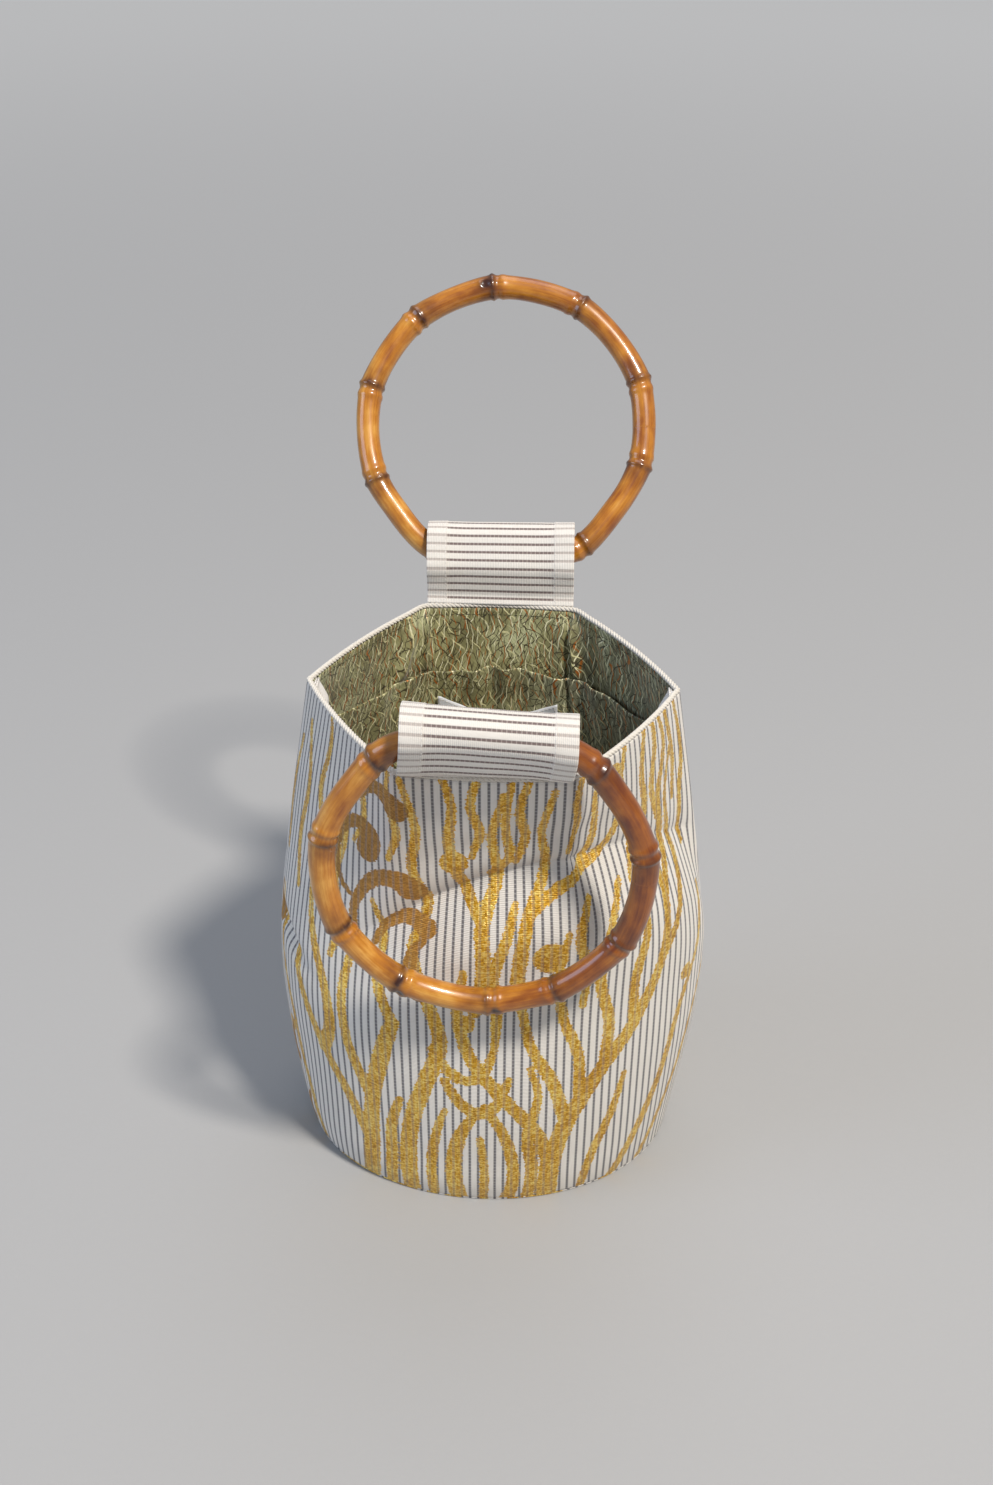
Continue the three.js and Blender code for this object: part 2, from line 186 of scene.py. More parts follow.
def ripple(a, b, seed, waves=7):
    """Smooth uneven waves about 0 over the plane, with the same result each run."""
    random = np.random.default_rng(seed)
    total = np.zeros(np.broadcast(a, b).shape)
    for _ in range(waves):
        turn, length, phase = random.uniform(0, 2 * math.pi), random.uniform(0.6, 1.7), random.uniform(0, 7)
        total += np.sin((a * math.cos(turn) + b * math.sin(turn)) * 2 * math.pi / length + phase)
    return total / waves


# the crease's height at some places across the front panel
crease_across = [-150, -112, -90, -70, -50, -25, 0, 25, 50, 75, 95, 112, 150]
crease_height = [100, 114, 129, 142, 156, 173, 186, 193, 196, 193, 188, 181, 170]


def creased(side, along, across, height):
    """How far the wall is pushed in, in millimetres. Above a slanting crease the front
    hangs back under the mouth, and below it the cloth comes forward again."""
    free = rise(height / 30) * rise((1 - np.abs(along)) / 0.11)
    soft = 1.5 * ripple(across / 95, height / 70, 11 + side) * rise((mouth_height - height) / 60)
    if side > 0:
        hollow = 4.0 * rise((mouth_height - height) / 80) * np.exp(-(((height - 150) / 42) ** 2))
        return (hollow * np.exp(-((across / 80) ** 2)) + soft) * free
    over = height - np.interp(across, crease_across, crease_height)
    depth = 11.5 * rise((across + 80) / 70) * (1 - 0.5 * rise((across - 25) / 65))
    climbed = np.clip(over, 0, None)
    above = (0.48 * np.exp(-climbed / 8) + 0.52 * np.exp(-climbed / 46)) * rise((mouth_height - height) / 42)
    below = (1 + over / 36).clip(0) ** 1.5
    crease = depth * np.where(over > 0, above, below)
    forward = -2.4 * rise((across + 90) / 60) * np.exp(-(((over + 46) / 24) ** 2))
    nick = 4.5 * np.exp(-(((across + 116) / 16) ** 2) - ((height - 122 + 0.35 * (across + 116)) / 5) ** 2)
    second = 2.0 * np.exp(-(((across - 10) / 50) ** 2)) * np.exp(-(((over - 22 + 0.12 * across) / 8) ** 2))
    return (crease + forward + nick + second + soft) * free


def wall(side, along, heights, inset=0.0):
    """The points of a layer inset in from the outer face, with the across and up
    lengths along it, in millimetres. along has a row for each height, or one for all."""
    knots, rows = panel_rows[side]
    heights = np.asarray(heights, float)
    along = np.broadcast_to(along, (len(heights), np.shape(along)[-1]))
    outline = np.einsum("hk,kcd->hcd", cubic_weights(knots, heights), rows)
    flat = np.stack([cubic_weights(columns_at, a) @ o for a, o in zip(along, outline)])
    ahead = np.gradient(flat, axis=1)
    normal = np.stack([ahead[..., 1], -ahead[..., 0]], -1)
    normal /= np.linalg.norm(normal, axis=-1, keepdims=True) * np.where(side < 0, 1, -1)
    steps = np.linalg.norm(np.diff(flat, axis=1), axis=-1)
    across = np.concatenate([np.zeros((len(heights), 1)), np.cumsum(steps, 1)], 1)
    middle = np.array([np.interp(0, a, s) for a, s in zip(along, across)])
    across = across - middle[:, None]
    push = creased(side, along, across, heights[:, None]) + inset
    upright = np.broadcast_to(heights[:, None], push.shape)
    points = np.concatenate([flat - normal * push[..., None], upright[..., None]], -1)
    return points, across, upright


# The pattern: fronds of water weed with discs and comma shapes among them, a
# common kind of sash pattern, drawn here as strokes. Each point of a stroke is
# millimetres across from the panel's middle, up from its foot, and half wide.
fronds = [
    [(31, -6, 5.5), (33, 24, 5.0), (40, 50, 4.8), (55, 76, 4.2), (73, 99, 3.8),
     (88, 128, 3.0), (93, 158, 2.2), (89, 190, 1.5)],
    [(33, 24, 4.0), (25, 48, 3.6), (9, 70, 3.4), (-6, 92, 3.2), (-12, 118, 2.6), (-9, 140, 2.0)],
    [(40, 50, 3.4), (33, 76, 3.2), (22, 98, 2.6), (17, 122, 2.2)],
    [(46, 62, 3.2), (45, 90, 2.8), (37, 112, 2.6), (34, 138, 2.2), (38, 160, 1.6)],
    [(58, 80, 3.2), (60, 106, 3.0), (54, 130, 2.8), (57, 154, 2.4), (66, 178, 1.8)],
    [(73, 99, 3.0), (73, 126, 2.8), (79, 150, 2.4), (74, 176, 2.0), (82, 202, 1.4)],
    [(88, 128, 2.4), (102, 148, 2.2), (109, 172, 2.0), (105, 202, 1.5), (112, 226, 1.0)],
    [(64, -4, 2.8), (80, 28, 2.8), (94, 60, 2.4), (103, 92, 2.0), (118, 122, 1.6), (124, 150, 1.1)],
    [(84, 0, 2.2), (97, 26, 2.2), (110, 54, 2.0), (119, 84, 1.5), (132, 108, 1.0)],
    [(-58, -6, 5.0), (-57, 26, 4.8), (-55, 56, 4.4), (-49, 84, 4.4), (-42, 108, 3.6)],
    [(-57, 26, 3.6), (-69, 52, 3.4), (-84, 74, 3.2), (-98, 98, 2.8), (-108, 124, 2.0)],
    [(-84, 74, 4.4), (-78, 92, 3.8), (-82, 114, 3.2), (-92, 138, 2.4), (-96, 160, 1.6)],
    [(-55, 56, 3.6), (-66, 84, 3.2), (-70, 110, 2.8), (-66, 134, 2.2)],
    [(-34, -6, 4.4), (-37, 24, 4.6), (-34, 52, 4.2), (-26, 78, 4.2), (-20, 100, 3.6),
     (-26, 124, 3.0), (-34, 148, 2.4)],
    [(-10, -6, 4.2), (-14, 20, 4.2), (-11, 44, 3.4), (-2, 62, 2.2)],
    [(10, -6, 3.6), (15, 18, 3.2), (11, 44, 2.8), (1, 64, 2.2)],
    [(0, -4, 2.4), (1, 20, 2.2), (-1, 44, 1.8)],
    [(-18, 78, 2.2), (-11, 66, 3.0), (-2, 60, 3.4), (7, 66, 3.0), (12, 80, 2.0)],
    [(-24, 96, 2.0), (-16, 84, 2.8), (-7, 79, 3.0), (1, 85, 2.6), (5, 97, 1.8)],
    [(-92, -4, 2.6), (-100, 24, 2.6), (-109, 52, 2.4), (-114, 84, 2.0), (-124, 112, 1.6), (-126, 140, 1.2)],
    [(-112, 4, 1.8), (-120, 34, 1.8), (-128, 66, 1.6), (-132, 96, 1.2)],
    [(-4, 118, 3.2), (0, 140, 3.6), (-1, 164, 3.4), (6, 188, 2.8), (3, 212, 2.2), (8, 238, 1.6)],
    [(14, 122, 3.2), (16, 146, 3.4), (20, 170, 2.8), (28, 192, 2.4), (25, 216, 2.0), (30, 240, 1.6)],
    [(-1, 164, 3.0), (-11, 184, 3.0), (-16, 206, 2.6), (-14, 230, 2.2), (-18, 248, 1.8)],
    [(20, 170, 2.6), (33, 181, 2.8), (47, 190, 2.6), (54, 208, 2.2), (52, 230, 1.8), (57, 248, 1.4)],
    [(47, 190, 2.4), (61, 196, 2.4), (70, 212, 2.2), (70, 232, 1.8), (76, 250, 1.4)],
    [(82, 186, 2.0), (88, 206, 2.4), (86, 226, 2.0), (92, 250, 1.6)],
    [(93, 158, 2.2), (101, 182, 2.4), (99, 206, 2.2), (107, 230, 1.8), (104, 250, 1.4)],
    [(120, 172, 1.4), (119, 196, 2.0), (124, 220, 1.8), (121, 246, 1.4)],
    [(-42, 108, 3.0), (-50, 128, 2.8), (-48, 150, 2.2), (-54, 168, 1.6)],
    [(-34, 148, 2.4), (-27, 170, 2.6), (-33, 192, 2.4), (-30, 216, 2.2), (-36, 244, 1.6)],
    [(-96, 160, 1.6), (-90, 184, 2.4), (-96, 208, 2.2), (-92, 232, 1.8), (-96, 250, 1.4)],
    [(-66, 196, 1.4), (-60, 210, 2.2), (-62, 230, 2.0), (-56, 250, 1.6)],
    [(-108, 150, 1.6), (-112, 176, 2.2), (-108, 204, 2.0), (-116, 232, 1.6)],
    [(-127, 160, 1.4), (-129, 190, 1.6), (-124, 220, 1.4)],
    [(-46, -4, 3.0), (-46, 20, 3.4), (-45, 44, 3.0), (-40, 62, 2.0)],
    [(21, -4, 3.0), (24, 22, 3.2), (21, 46, 2.8), (26, 68, 2.2), (22, 86, 1.6)],
    [(-23, -4, 2.6), (-25, 22, 2.8), (-22, 46, 2.4), (-18, 60, 1.6)],
    [(48, -4, 2.2), (54, 24, 2.6), (64, 50, 2.4), (70, 72, 1.6)],
    [(5, 96, 1.8), (6, 116, 2.8), (4, 138, 3.0), (10, 158, 2.4), (14, 174, 1.6)],
    [(46, 118, 1.8), (47, 138, 2.6), (43, 158, 2.4), (48, 176, 1.8)],
    [(-6, 200, 1.8), (-2, 216, 2.4), (-6, 232, 2.2), (-2, 250, 1.8)],
    [(14, 196, 1.8), (18, 212, 2.4), (15, 230, 2.2), (20, 250, 1.8)],
    [(38, 200, 1.8), (42, 216, 2.4), (40, 234, 2.2), (45, 252, 1.8)],
    [(3, 188, 2.6), (11, 200, 2.4), (9, 220, 2.0), (12, 250, 1.6)],
    [(-44, 196, 1.8), (-39, 212, 2.4), (-44, 232, 2.0), (-42, 250, 1.6)],
    [(-78, 130, 1.8), (-72, 150, 2.6), (-78, 172, 2.4), (-72, 196, 2.0), (-78, 222, 1.6)],
    [(98, 196, 1.8), (94, 214, 2.2), (99, 236, 2.0), (97, 252, 1.6)],
    [(112, 200, 1.6), (115, 220, 2.0), (111, 246, 1.6)],
]
discs = [(30, 148, 8.2), (-9, 111, 5.4), (-14, 196, 6.6), (66, 236, 5.0), (-118, 66, 4.6), (108, 112, 4.2)]
commas = [
    [(-57, 196, 7.2), (-55, 203, 5.8), (-64, 207, 3.8), (-74, 200, 3.0), (-78, 186, 2.4),
     (-74, 172, 1.8), (-66, 166, 1.2)],
    [(-33, 178, 6.8), (-40, 184, 5.4), (-51, 182, 4.0), (-60, 172, 3.2), (-65, 158, 2.4), (-62, 146, 1.6)],
    [(-39, 226, 6.6), (-46, 231, 5.0), (-56, 230, 3.2), (-64, 221, 1.8)],
    [(-27, 158, 5.0), (-36, 162, 3.8), (-47, 157, 2.8), (-53, 146, 1.8)],
    [(-29, 128, 5.8), (-34, 136, 4.2), (-33, 146, 2.6), (-28, 152, 1.4)],
    [(-119, 44, 4.6), (-122, 52, 3.2), (-120, 62, 1.8)],
    [(-107, 8, 4.4), (-109, 17, 3.0), (-106, 26, 1.6)],
    [(-131, 122, 4.2), (-133, 131, 2.8), (-130, 140, 1.4)],
]

# how far round a stroke its distance is worked out
PATTERN_REACH = 20.0


def depth_inside(strokes, points):
    """How far inside the nearest stroke each point is, in millimetres, less than 0 outside."""
    inside = np.full(len(points), -PATTERN_REACH)
    for stroke in strokes:
        stroke = np.array(stroke, float)
        at = np.linspace(0, len(stroke) - 1, 4 * (len(stroke) - 1) + 1)
        fine = cubic_weights(np.arange(len(stroke)), at) @ stroke if len(stroke) > 1 else stroke[[0, 0]]
        low, high = fine[:, :2].min(0) - PATTERN_REACH, fine[:, :2].max(0) + PATTERN_REACH
        near = np.flatnonzero(((points > low) & (points < high)).all(1))
        start, run = fine[:-1, :2], np.diff(fine[:, :2], axis=0)
        offset = points[near][:, None] - start
        t = np.clip((offset * run).sum(-1) / np.maximum((run * run).sum(-1), 1e-9), 0, 1)
        half = fine[:-1, 2] + t * np.diff(fine[:, 2])
        distance = np.linalg.norm(offset - t[..., None] * run, axis=-1) - half
        inside[near] = np.maximum(inside[near], -distance.min(1))
    return inside


# how far from a tab's middle its hems begin; the slits there have white cloth behind
TAB_HEM = 25.6


# Silk with gilt paper threads. The bands are dense plain weave, which gives a
# soft cloth sheen; the slits are bare ladders of weft, and their dark grey is
# painted shade of the hollow behind the open weave; the gilt floats are tiny
# mirrors at slightly different angles, so they glitter, and their colour is
# lightened at random as a painted glint.
def brocade(name, gap_shade, backing, patterned):
    material, tree, shader = new_material(name)
    uv = add(tree, "ShaderNodeSeparateXYZ", {0: add(tree, "ShaderNodeUVMap", uv_map="UVMap")})
    across, along = uv.outputs[0], uv.outputs[1]
    place = add(tree, "ShaderNodeCombineXYZ", {0: across, 1: along})
    # the slit is 1.2 mm of each 4 mm, with soft edges where the weft draws in
    turn = add(tree, "ShaderNodeMath", {0: across, 1: 1 / STRIPE}, operation="MULTIPLY")
    part = add(tree, "ShaderNodeMath", {0: turn}, operation="FRACT")
    off = add(tree, "ShaderNodeMath", {0: part, 1: 0.5}, operation="SUBTRACT")
    far = add(tree, "ShaderNodeMath", {0: off}, operation="ABSOLUTE")
    band = add(tree, "ShaderNodeMapRange", {0: far, 1: 0.08, 2: 0.225}, interpolation_type="SMOOTHSTEP")
    # the ladder's rungs are 2 mm apart, much coarser than the real ones, so that they show
    to_rung = add(tree, "ShaderNodeMath", {0: along, 1: 1.0}, operation="PINGPONG")
    rung_range = {0: to_rung, 1: 0.62, 2: 0.86, 4: 0.55}
    rung = add(tree, "ShaderNodeMapRange", rung_range, interpolation_type="SMOOTHSTEP")
    # the bands' weft ribs, 0.8 mm apart, a little coarser than the real count
    rib_turn = add(tree, "ShaderNodeMath", {0: along, 1: 2 * math.pi / 0.8}, operation="MULTIPLY")
    rib = add(tree, "ShaderNodeMath", {0: rib_turn}, operation="SINE")
    stretch = add(tree, "ShaderNodeMapping", {0: place, 3: (1.1, 0.16, 1)})
    streak = add(tree, "ShaderNodeTexNoise", {0: stretch, "Scale": 1.0, "Detail": 3.0})
    cloud = add(tree, "ShaderNodeTexNoise", {0: place, "Scale": 0.035, "Detail": 2.0})
    whites = {0: streak, 6: linear("#D8D4CE"), 7: linear("#F2EEE9")}
    white = add(tree, "ShaderNodeMix", whites, data_type="RGBA").outputs[2]
    clouded = {0: cloud, 6: white, 7: linear("#E6E0D6")}
    white = add(tree, "ShaderNodeMix", clouded, data_type="RGBA").outputs[2]
    # painted shade: the slits' dark colour stands for the shade in the hollow behind the open weave
    hollows = {0: rung, 6: linear(gap_shade), 7: linear(backing)}
    hollow = add(tree, "ShaderNodeMix", hollows, data_type="RGBA").outputs[2]
    if not patterned:
        edge = add(tree, "ShaderNodeMath", {0: along}, operation="ABSOLUTE")
        hem = add(tree, "ShaderNodeMapRange", {0: edge, 1: TAB_HEM, 2: TAB_HEM + 0.8, 4: 0.62})
        hemmed = {0: hem, 6: hollow, 7: linear("#D9D0C8")}
        hollow = add(tree, "ShaderNodeMix", hemmed, data_type="RGBA").outputs[2]
    colour = add(tree, "ShaderNodeMix", {0: band, 6: hollow, 7: white}, data_type="RGBA").outputs[2]
    height = add(tree, "ShaderNodeMath", {0: band, 1: 1.6, 2: rib}, operation="MULTIPLY_ADD")
    metallic, roughness = 0.0, 0.78
    if patterned:
        # threads end a little unevenly at a figure's edge, in steps of one rib
        steps = add(tree, "ShaderNodeMapping", {0: place, 3: (0.35, 1.25, 1)})
        step = add(tree, "ShaderNodeVectorMath", {0: steps}, operation="FLOOR")
        uneven = add(tree, "ShaderNodeTexWhiteNoise", {0: step}, noise_dimensions="2D")
        # floats of about 1 by 0.5 mm, twice the real size, each at an angle of its own
        grain = add(tree, "ShaderNodeMapping", {0: place, 3: (0.95, 1.9, 1)})
        cells = add(tree, "ShaderNodeTexVoronoi", {0: grain, "Scale": 1.0}, voronoi_dimensions="2D")
        glint = add(tree, "ShaderNodeSeparateColor", {0: cells.outputs[1]})
        patches = add(tree, "ShaderNodeTexNoise", {0: place, "Scale": 0.045, "Detail": 2.0})
        uneven_tone = add(tree, "ShaderNodeMath", {0: streak, 1: patches}, operation="ADD")
        # painted glint: each float's gilt colour is lightened by a random amount for its glitter
        painted_glint = add(tree, "ShaderNodeMath", {0: glint, 1: 0.42}, operation="MULTIPLY")
        tone_and_glint = add(tree, "ShaderNodeMath", {0: uneven_tone, 1: 0.46, 2: painted_glint}, operation="MULTIPLY_ADD")
        gilt = add(tree, "ShaderNodeValToRGB", {0: tone_and_glint})
        dark, light = gilt.color_ramp.elements
        dark.position, dark.color = 0.44, linear("#B47E14")
        light.position, light.color = 0.9, linear("#FFE482")
        gilt.color_ramp.elements.new(0.66).color = linear("#E4AD27")
        # painted glint: the bronze floats are lightened at random in the same way
        bronzes = {0: glint, 6: linear("#8F6420"), 7: linear("#BE8A38")}
        bronze = add(tree, "ShaderNodeMix", bronzes, data_type="RGBA").outputs[2]
        # over the slits the gilt covers less, so the painted shade in them shows through
        gilt_over_slit = add(tree, "ShaderNodeMapRange", {0: band, 3: 0.62})
        covers = []
        for attribute in ("gold", "bronze"):
            depth = add(tree, "ShaderNodeAttribute", attribute_name=attribute).outputs[2]
            jagged = add(tree, "ShaderNodeMath", {0: uneven, 1: 0.9, 2: depth}, operation="MULTIPLY_ADD")
            mask = add(tree, "ShaderNodeMapRange", {0: jagged, 1: 0.3, 2: 0.6})
            covers.append(add(tree, "ShaderNodeMath", {0: mask, 1: gilt_over_slit}, operation="MULTIPLY"))
        colour = add(tree, "ShaderNodeMix", {0: covers[0], 6: colour, 7: gilt}, data_type="RGBA").outputs[2]
        colour = add(tree, "ShaderNodeMix", {0: covers[1], 6: colour, 7: bronze}, data_type="RGBA").outputs[2]
        plain = add(tree, "ShaderNodeMath", {0: 1.0, 1: covers[1]}, operation="SUBTRACT")
        shine = add(tree, "ShaderNodeMath", {0: covers[0], 1: plain}, operation="MULTIPLY")
        metallic = add(tree, "ShaderNodeMapRange", {0: shine, 4: 0.5})
        roughness = add(tree, "ShaderNodeMapRange", {0: shine, 3: 0.78, 4: 0.34})
        sparkle = add(tree, "ShaderNodeMath", {0: glint, 1: shine}, operation="MULTIPLY")
        height = add(tree, "ShaderNodeMath", {0: sparkle, 1: 1.4, 2: height}, operation="MULTIPLY_ADD")
    feed(tree, shader, {
        "Base Color": colour,
        "Metallic": metallic,
        "Roughness": roughness,
        "Normal": add(tree, "ShaderNodeBump", {"Strength": 0.45, "Distance": 0.00022, "Height": height}),
        "Sheen Weight": 0.12,
        "Sheen Roughness": 0.45,
    })
    return material


# the slits' dark grey here is painted shade
brocade_cloth = brocade("silk_brocade_white_and_gilt", "#706E70", "#B9B6B5", True)

panels = {}
for side, name in ((-1, "front"), (1, "back")):
    foot = panel_rows[side][0][0]
    # the last rows turn in under the piping, and the first ones under the base's edge
    heights = np.concatenate([
        [foot - 0.9, foot - 0.4],
        np.linspace(foot, mouth_height, PANEL_ROWS),
        [mouth_height + 0.35, mouth_height + 0.5],
    ])
    turned = np.concatenate([[2.2, 0.7], np.zeros(PANEL_ROWS), [0.35, 1.3]])
    columns = np.linspace(-1, 1, PANEL_COLUMNS + 1)
    points, across, up = wall(side, columns, np.clip(heights, foot, mouth_height))
    inner = wall(side, columns, np.clip(heights, foot, mouth_height), 1.0)[0]
    points = points + (inner - points) * turned[:, None, None]
    points[..., 2] = heights[:, None]
    # the back is cut from the same width of cloth, turned round
    drawn = np.stack([across, up if side < 0 else mouth_height - up], -1)
    flat = drawn.reshape(-1, 2)
    panels[name] = piece(
        f"{name}_panel", points, grid_faces(*across.shape, flip=side > 0), brocade_cloth, drawn,
        {
            "gold": np.maximum(depth_inside(fronds, flat), depth_inside([[d] for d in discs], flat)),
            "bronze": depth_inside(commas, flat),
        },
    )
    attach(panels[name], "bag")
    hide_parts(f"outer_{name}_panel")


# Base: an oval of the same cloth on a stiff greyboard, so that the bag stands.
# The walls' lower edges are turned in under it, and its own edge is rolled.
# a ring this far in shrinks to the oval's middle
MIDDLE = 120
OVAL_COLUMNS = 97
# where on the cloth the oval is cut, up from the pattern's foot
OVAL_CUT = 96


def oval(name, side_rows, rings, material, heights, flip=False, extra=None):
    """An oval plate from its rings: how far in each is from the outline, and its height.
    A ring at its middle is closed with a face."""
    front, back = side_rows
    outline = np.concatenate([front[:-1], back[::-1][:-1]])[:, :2]
    points = []
    for inwards, height in zip(rings, heights):
        size = np.maximum(1 - inwards / np.abs(outline).max(0), 0.002)
        points.append(np.column_stack([outline * size, np.full(len(outline), height)]))
    points = np.array(points)
    if extra is not None:
        points[..., 2] += extra(points[..., 0], points[..., 1])
    flat = np.stack([points[..., 0], points[..., 1] + OVAL_CUT], -1).reshape(-1, 2)
    count, last = len(outline), (len(rings) - 1) * len(outline)
    ends = [list(range(count))[::1 if flip else -1]] if rings[0] == MIDDLE else []
    if rings[-1] == MIDDLE:
        ends.append(list(range(last, last + count))[::-1 if flip else 1])
    return piece(
        name, points, grid_faces(*points.shape[:2], round_columns=True, flip=flip), material, points[..., :2],
        {"gold": depth_inside(fronds, flat), "bronze": depth_inside(commas, flat)}, ends,
    )


oval_columns = np.linspace(-1, 1, OVAL_COLUMNS)
foot_line = [wall(side, oval_columns, [panel_rows[side][0][0]])[0][0] for side in (-1, 1)]
base_cloth = oval(
    "base_cloth", foot_line,
    [MIDDLE, 60, 45, 30, 15, 6, 2, 0.8, 0.3, 0.2, 0.5, 1.5, 4, 30, MIDDLE], brocade_cloth,
    [0.5, 0.45, 0.4, 0.3, 0.2, 0.1, 0.02, 0.1, 0.35, 0.7, 1.1, 1.2, 1.2, 1.2, 1.2],
)
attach(base_cloth, "bag")
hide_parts("outer_base")

# Greyboard: pressed waste paper, dull and flecked with fibres about 0.8 mm long.
greyboard, tree, shader = new_material("pressed_greyboard")
place = add(tree, "ShaderNodeTexCoord").outputs["Object"]
fleck = add(tree, "ShaderNodeTexNoise", {0: place, "Scale": 1250.0, "Detail": 4.0})
greys = {0: fleck, 6: linear("#5B4E3E"), 7: linear("#85765F")}
feed(tree, shader, {
    "Base Color": add(tree, "ShaderNodeMix", greys, data_type="RGBA").outputs[2],
    "Roughness": 0.92,
    "Normal": add(tree, "ShaderNodeBump", {"Strength": 0.3, "Distance": 0.0001, "Height": fleck}),
})
frame["nodes"]["base_board"].data.materials.clear()
frame["nodes"]["base_board"].data.materials.append(greyboard)


# Lining: sage satin with a crackle print of hair-fine dark, copper and pale
# lines. Its two walls and its oval are bagged out and sewn in at the mouth.
lining_print, tree, shader = new_material("sage_satin_with_crackle_print")
uv = add(tree, "ShaderNodeUVMap", uv_map="UVMap")
# the cloth's own colour drifts between sage, olive and grey over about 30 mm
drift = add(tree, "ShaderNodeTexNoise", {0: uv, "Scale": 0.034, "Detail": 4.0, "Roughness": 0.6})
ground = add(tree, "ShaderNodeValToRGB", {0: drift})
dark, light = ground.color_ramp.elements
dark.position, dark.color = 0.32, linear("#6C6845")
light.position, light.color = 0.68, linear("#BABC92")
ground.color_ramp.elements.new(0.5).color = linear("#908D62")
# painted shade: towards +X the lining turns to a darker grey, as it lies in shadow there
from_middle = add(tree, "ShaderNodeSeparateXYZ", {0: uv})
painted_side_shade = add(tree, "ShaderNodeMapRange", {0: from_middle, 1: 34.0, 2: 92.0, 4: 0.6})
shaded = {0: painted_side_shade, 6: ground, 7: linear("#63665F")}
colour = add(tree, "ShaderNodeMix", shaded, data_type="RGBA").outputs[2]
wander = add(tree, "ShaderNodeTexNoise", {0: uv, "Scale": 0.05, "Detail": 2.0}).outputs[1]
bent = add(tree, "ShaderNodeVectorMath", {0: wander, 1: (9.0, 9.0, 0.0), 2: uv}, operation="MULTIPLY_ADD")
line_masks = []
# each set of strands: spacing in mm, turn, ink, how much of the cloth it covers
for spacing, turn, ink, cover in (
    (2.9, 0.3, "#3A331C", 0.43),
    (3.3, -0.42, "#453B22", 0.43),
    (4.2, 0.85, "#322B19", 0.47),
    (4.4, -0.12, "#BC6E28", 0.46),
    (3.2, 0.1, "#ECE8C2", 0.46),
    (4.2, -0.7, "#D8D2A0", 0.5),
    (4.9, -1.15, "#40381F", 0.54),
    (3.7, 0.55, "#2F2A1A", 0.52),
):
    turned = add(tree, "ShaderNodeMapping", {0: bent, 1: (spacing * 11, spacing * 7, 0), 2: (0, 0, turn)})
    wave = add(tree, "ShaderNodeTexWave", {
        0: turned, "Scale": 0.314 / spacing, "Distortion": 7.0, "Detail": 1.5, "Detail Scale": 0.3 * spacing,
    }).outputs[1]
    # a strand is about a tenth of the spacing thick, so 0.3 to 0.5 mm
    line = add(tree, "ShaderNodeMapRange", {0: wave, 1: 0.94, 2: 0.985})
    frayed = add(tree, "ShaderNodeMapping", {0: turned, 3: (0.3, 0.085, 1)})
    breaks = add(tree, "ShaderNodeTexNoise", {0: frayed, "Scale": 1.0, "Detail": 2.0})
    shown = add(tree, "ShaderNodeMapRange", {0: breaks, 1: cover - 0.03, 2: cover + 0.07, 4: 0.95})
    mask = add(tree, "ShaderNodeMath", {0: line, 1: shown}, operation="MULTIPLY")
    colour = add(tree, "ShaderNodeMix", {0: mask, 6: colour, 7: linear(ink)}, data_type="RGBA").outputs[2]
    line_masks.append(mask)
sunken, copper = line_masks[0], line_masks[3]
# satin weave in ribs 1.3 mm apart, drawn coarser than the real one so that it shows
weave_values = {0: uv, "Scale": 0.33, "Distortion": 0.6, "Detail": 1.0}
weave = add(tree, "ShaderNodeTexWave", weave_values, bands_direction="DIAGONAL").outputs[1]
height = add(tree, "ShaderNodeMath", {0: sunken, 1: -1.2, 2: weave}, operation="MULTIPLY_ADD")
feed(tree, shader, {
    "Base Color": colour,
    "Roughness": add(tree, "ShaderNodeMapRange", {0: copper, 3: 0.46, 4: 0.3}),
    "Metallic": add(tree, "ShaderNodeMapRange", {0: copper, 4: 0.5}),
    "Normal": add(tree, "ShaderNodeBump", {"Strength": 0.25, "Distance": 0.00015, "Height": height}),
    "Sheen Weight": 0.15,
})


def lining_folds(side, across, height):
    """How far the lining stands in from its wall, with its loose folds."""
    slack = 1.7 * (ripple(across / 34, height / 60, 31 + side) + 0.25).clip(0)
    slack = slack + 0.5 * ripple(across / 11, height / 26, 41 + side).clip(0)
    slack = slack * rise((mouth_height - height) / 14)
    if side > 0:
        # under the handle tab the lining is held flat, and pinched near the tab's corners
        below = mouth_height - height
        pinch = sum(
            size * np.exp(-(((across - at - lean * below) / (2.4 + 0.05 * below)) ** 2))
            for at, lean, size in (
                (-38, 0.05, 4.4), (38, 0.16, 5.0), (31, 0.02, 2.0), (-47, -0.3, 3.0), (58, 0.3, 1.6),
            )
        )
        # lower down the lining is behind the pocket, and lies flat
        uncovered = rise((height - 206) / 14)
        slack = (slack * (1 - 0.5 * np.exp(-((across / 34) ** 4))) + pinch * rise(below / 8)) * uncovered
    return 2.1 + slack


LINING_FOOT = 4.9
lining_columns = np.linspace(-1, 1, 221)
linings = {}
for side, name in ((-1, "front"), (1, "back")):
    # the last two rows lean out over the edge of the outer cloth, under the piping
    heights = np.concatenate([
        np.linspace(LINING_FOOT, mouth_height - 0.2, 150), [mouth_height + 0.3, mouth_height + 0.5],
    ])
    clipped = np.clip(heights, None, mouth_height)
    across, up = wall(side, lining_columns, clipped)[1:]
    inset = lining_folds(side, across, up)
    inset[-2:] = [[1.7], [1.1]]
    points = wall(side, lining_columns, clipped, inset)[0]
    points[..., 2] = heights[:, None]
    faces = grid_faces(*across.shape, flip=side < 0)
    linings[name] = piece(f"lining_{name}_wall", points, faces, lining_print, np.stack([across, up], -1))
    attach(linings[name], "bag")
    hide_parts(f"lining_{name}")

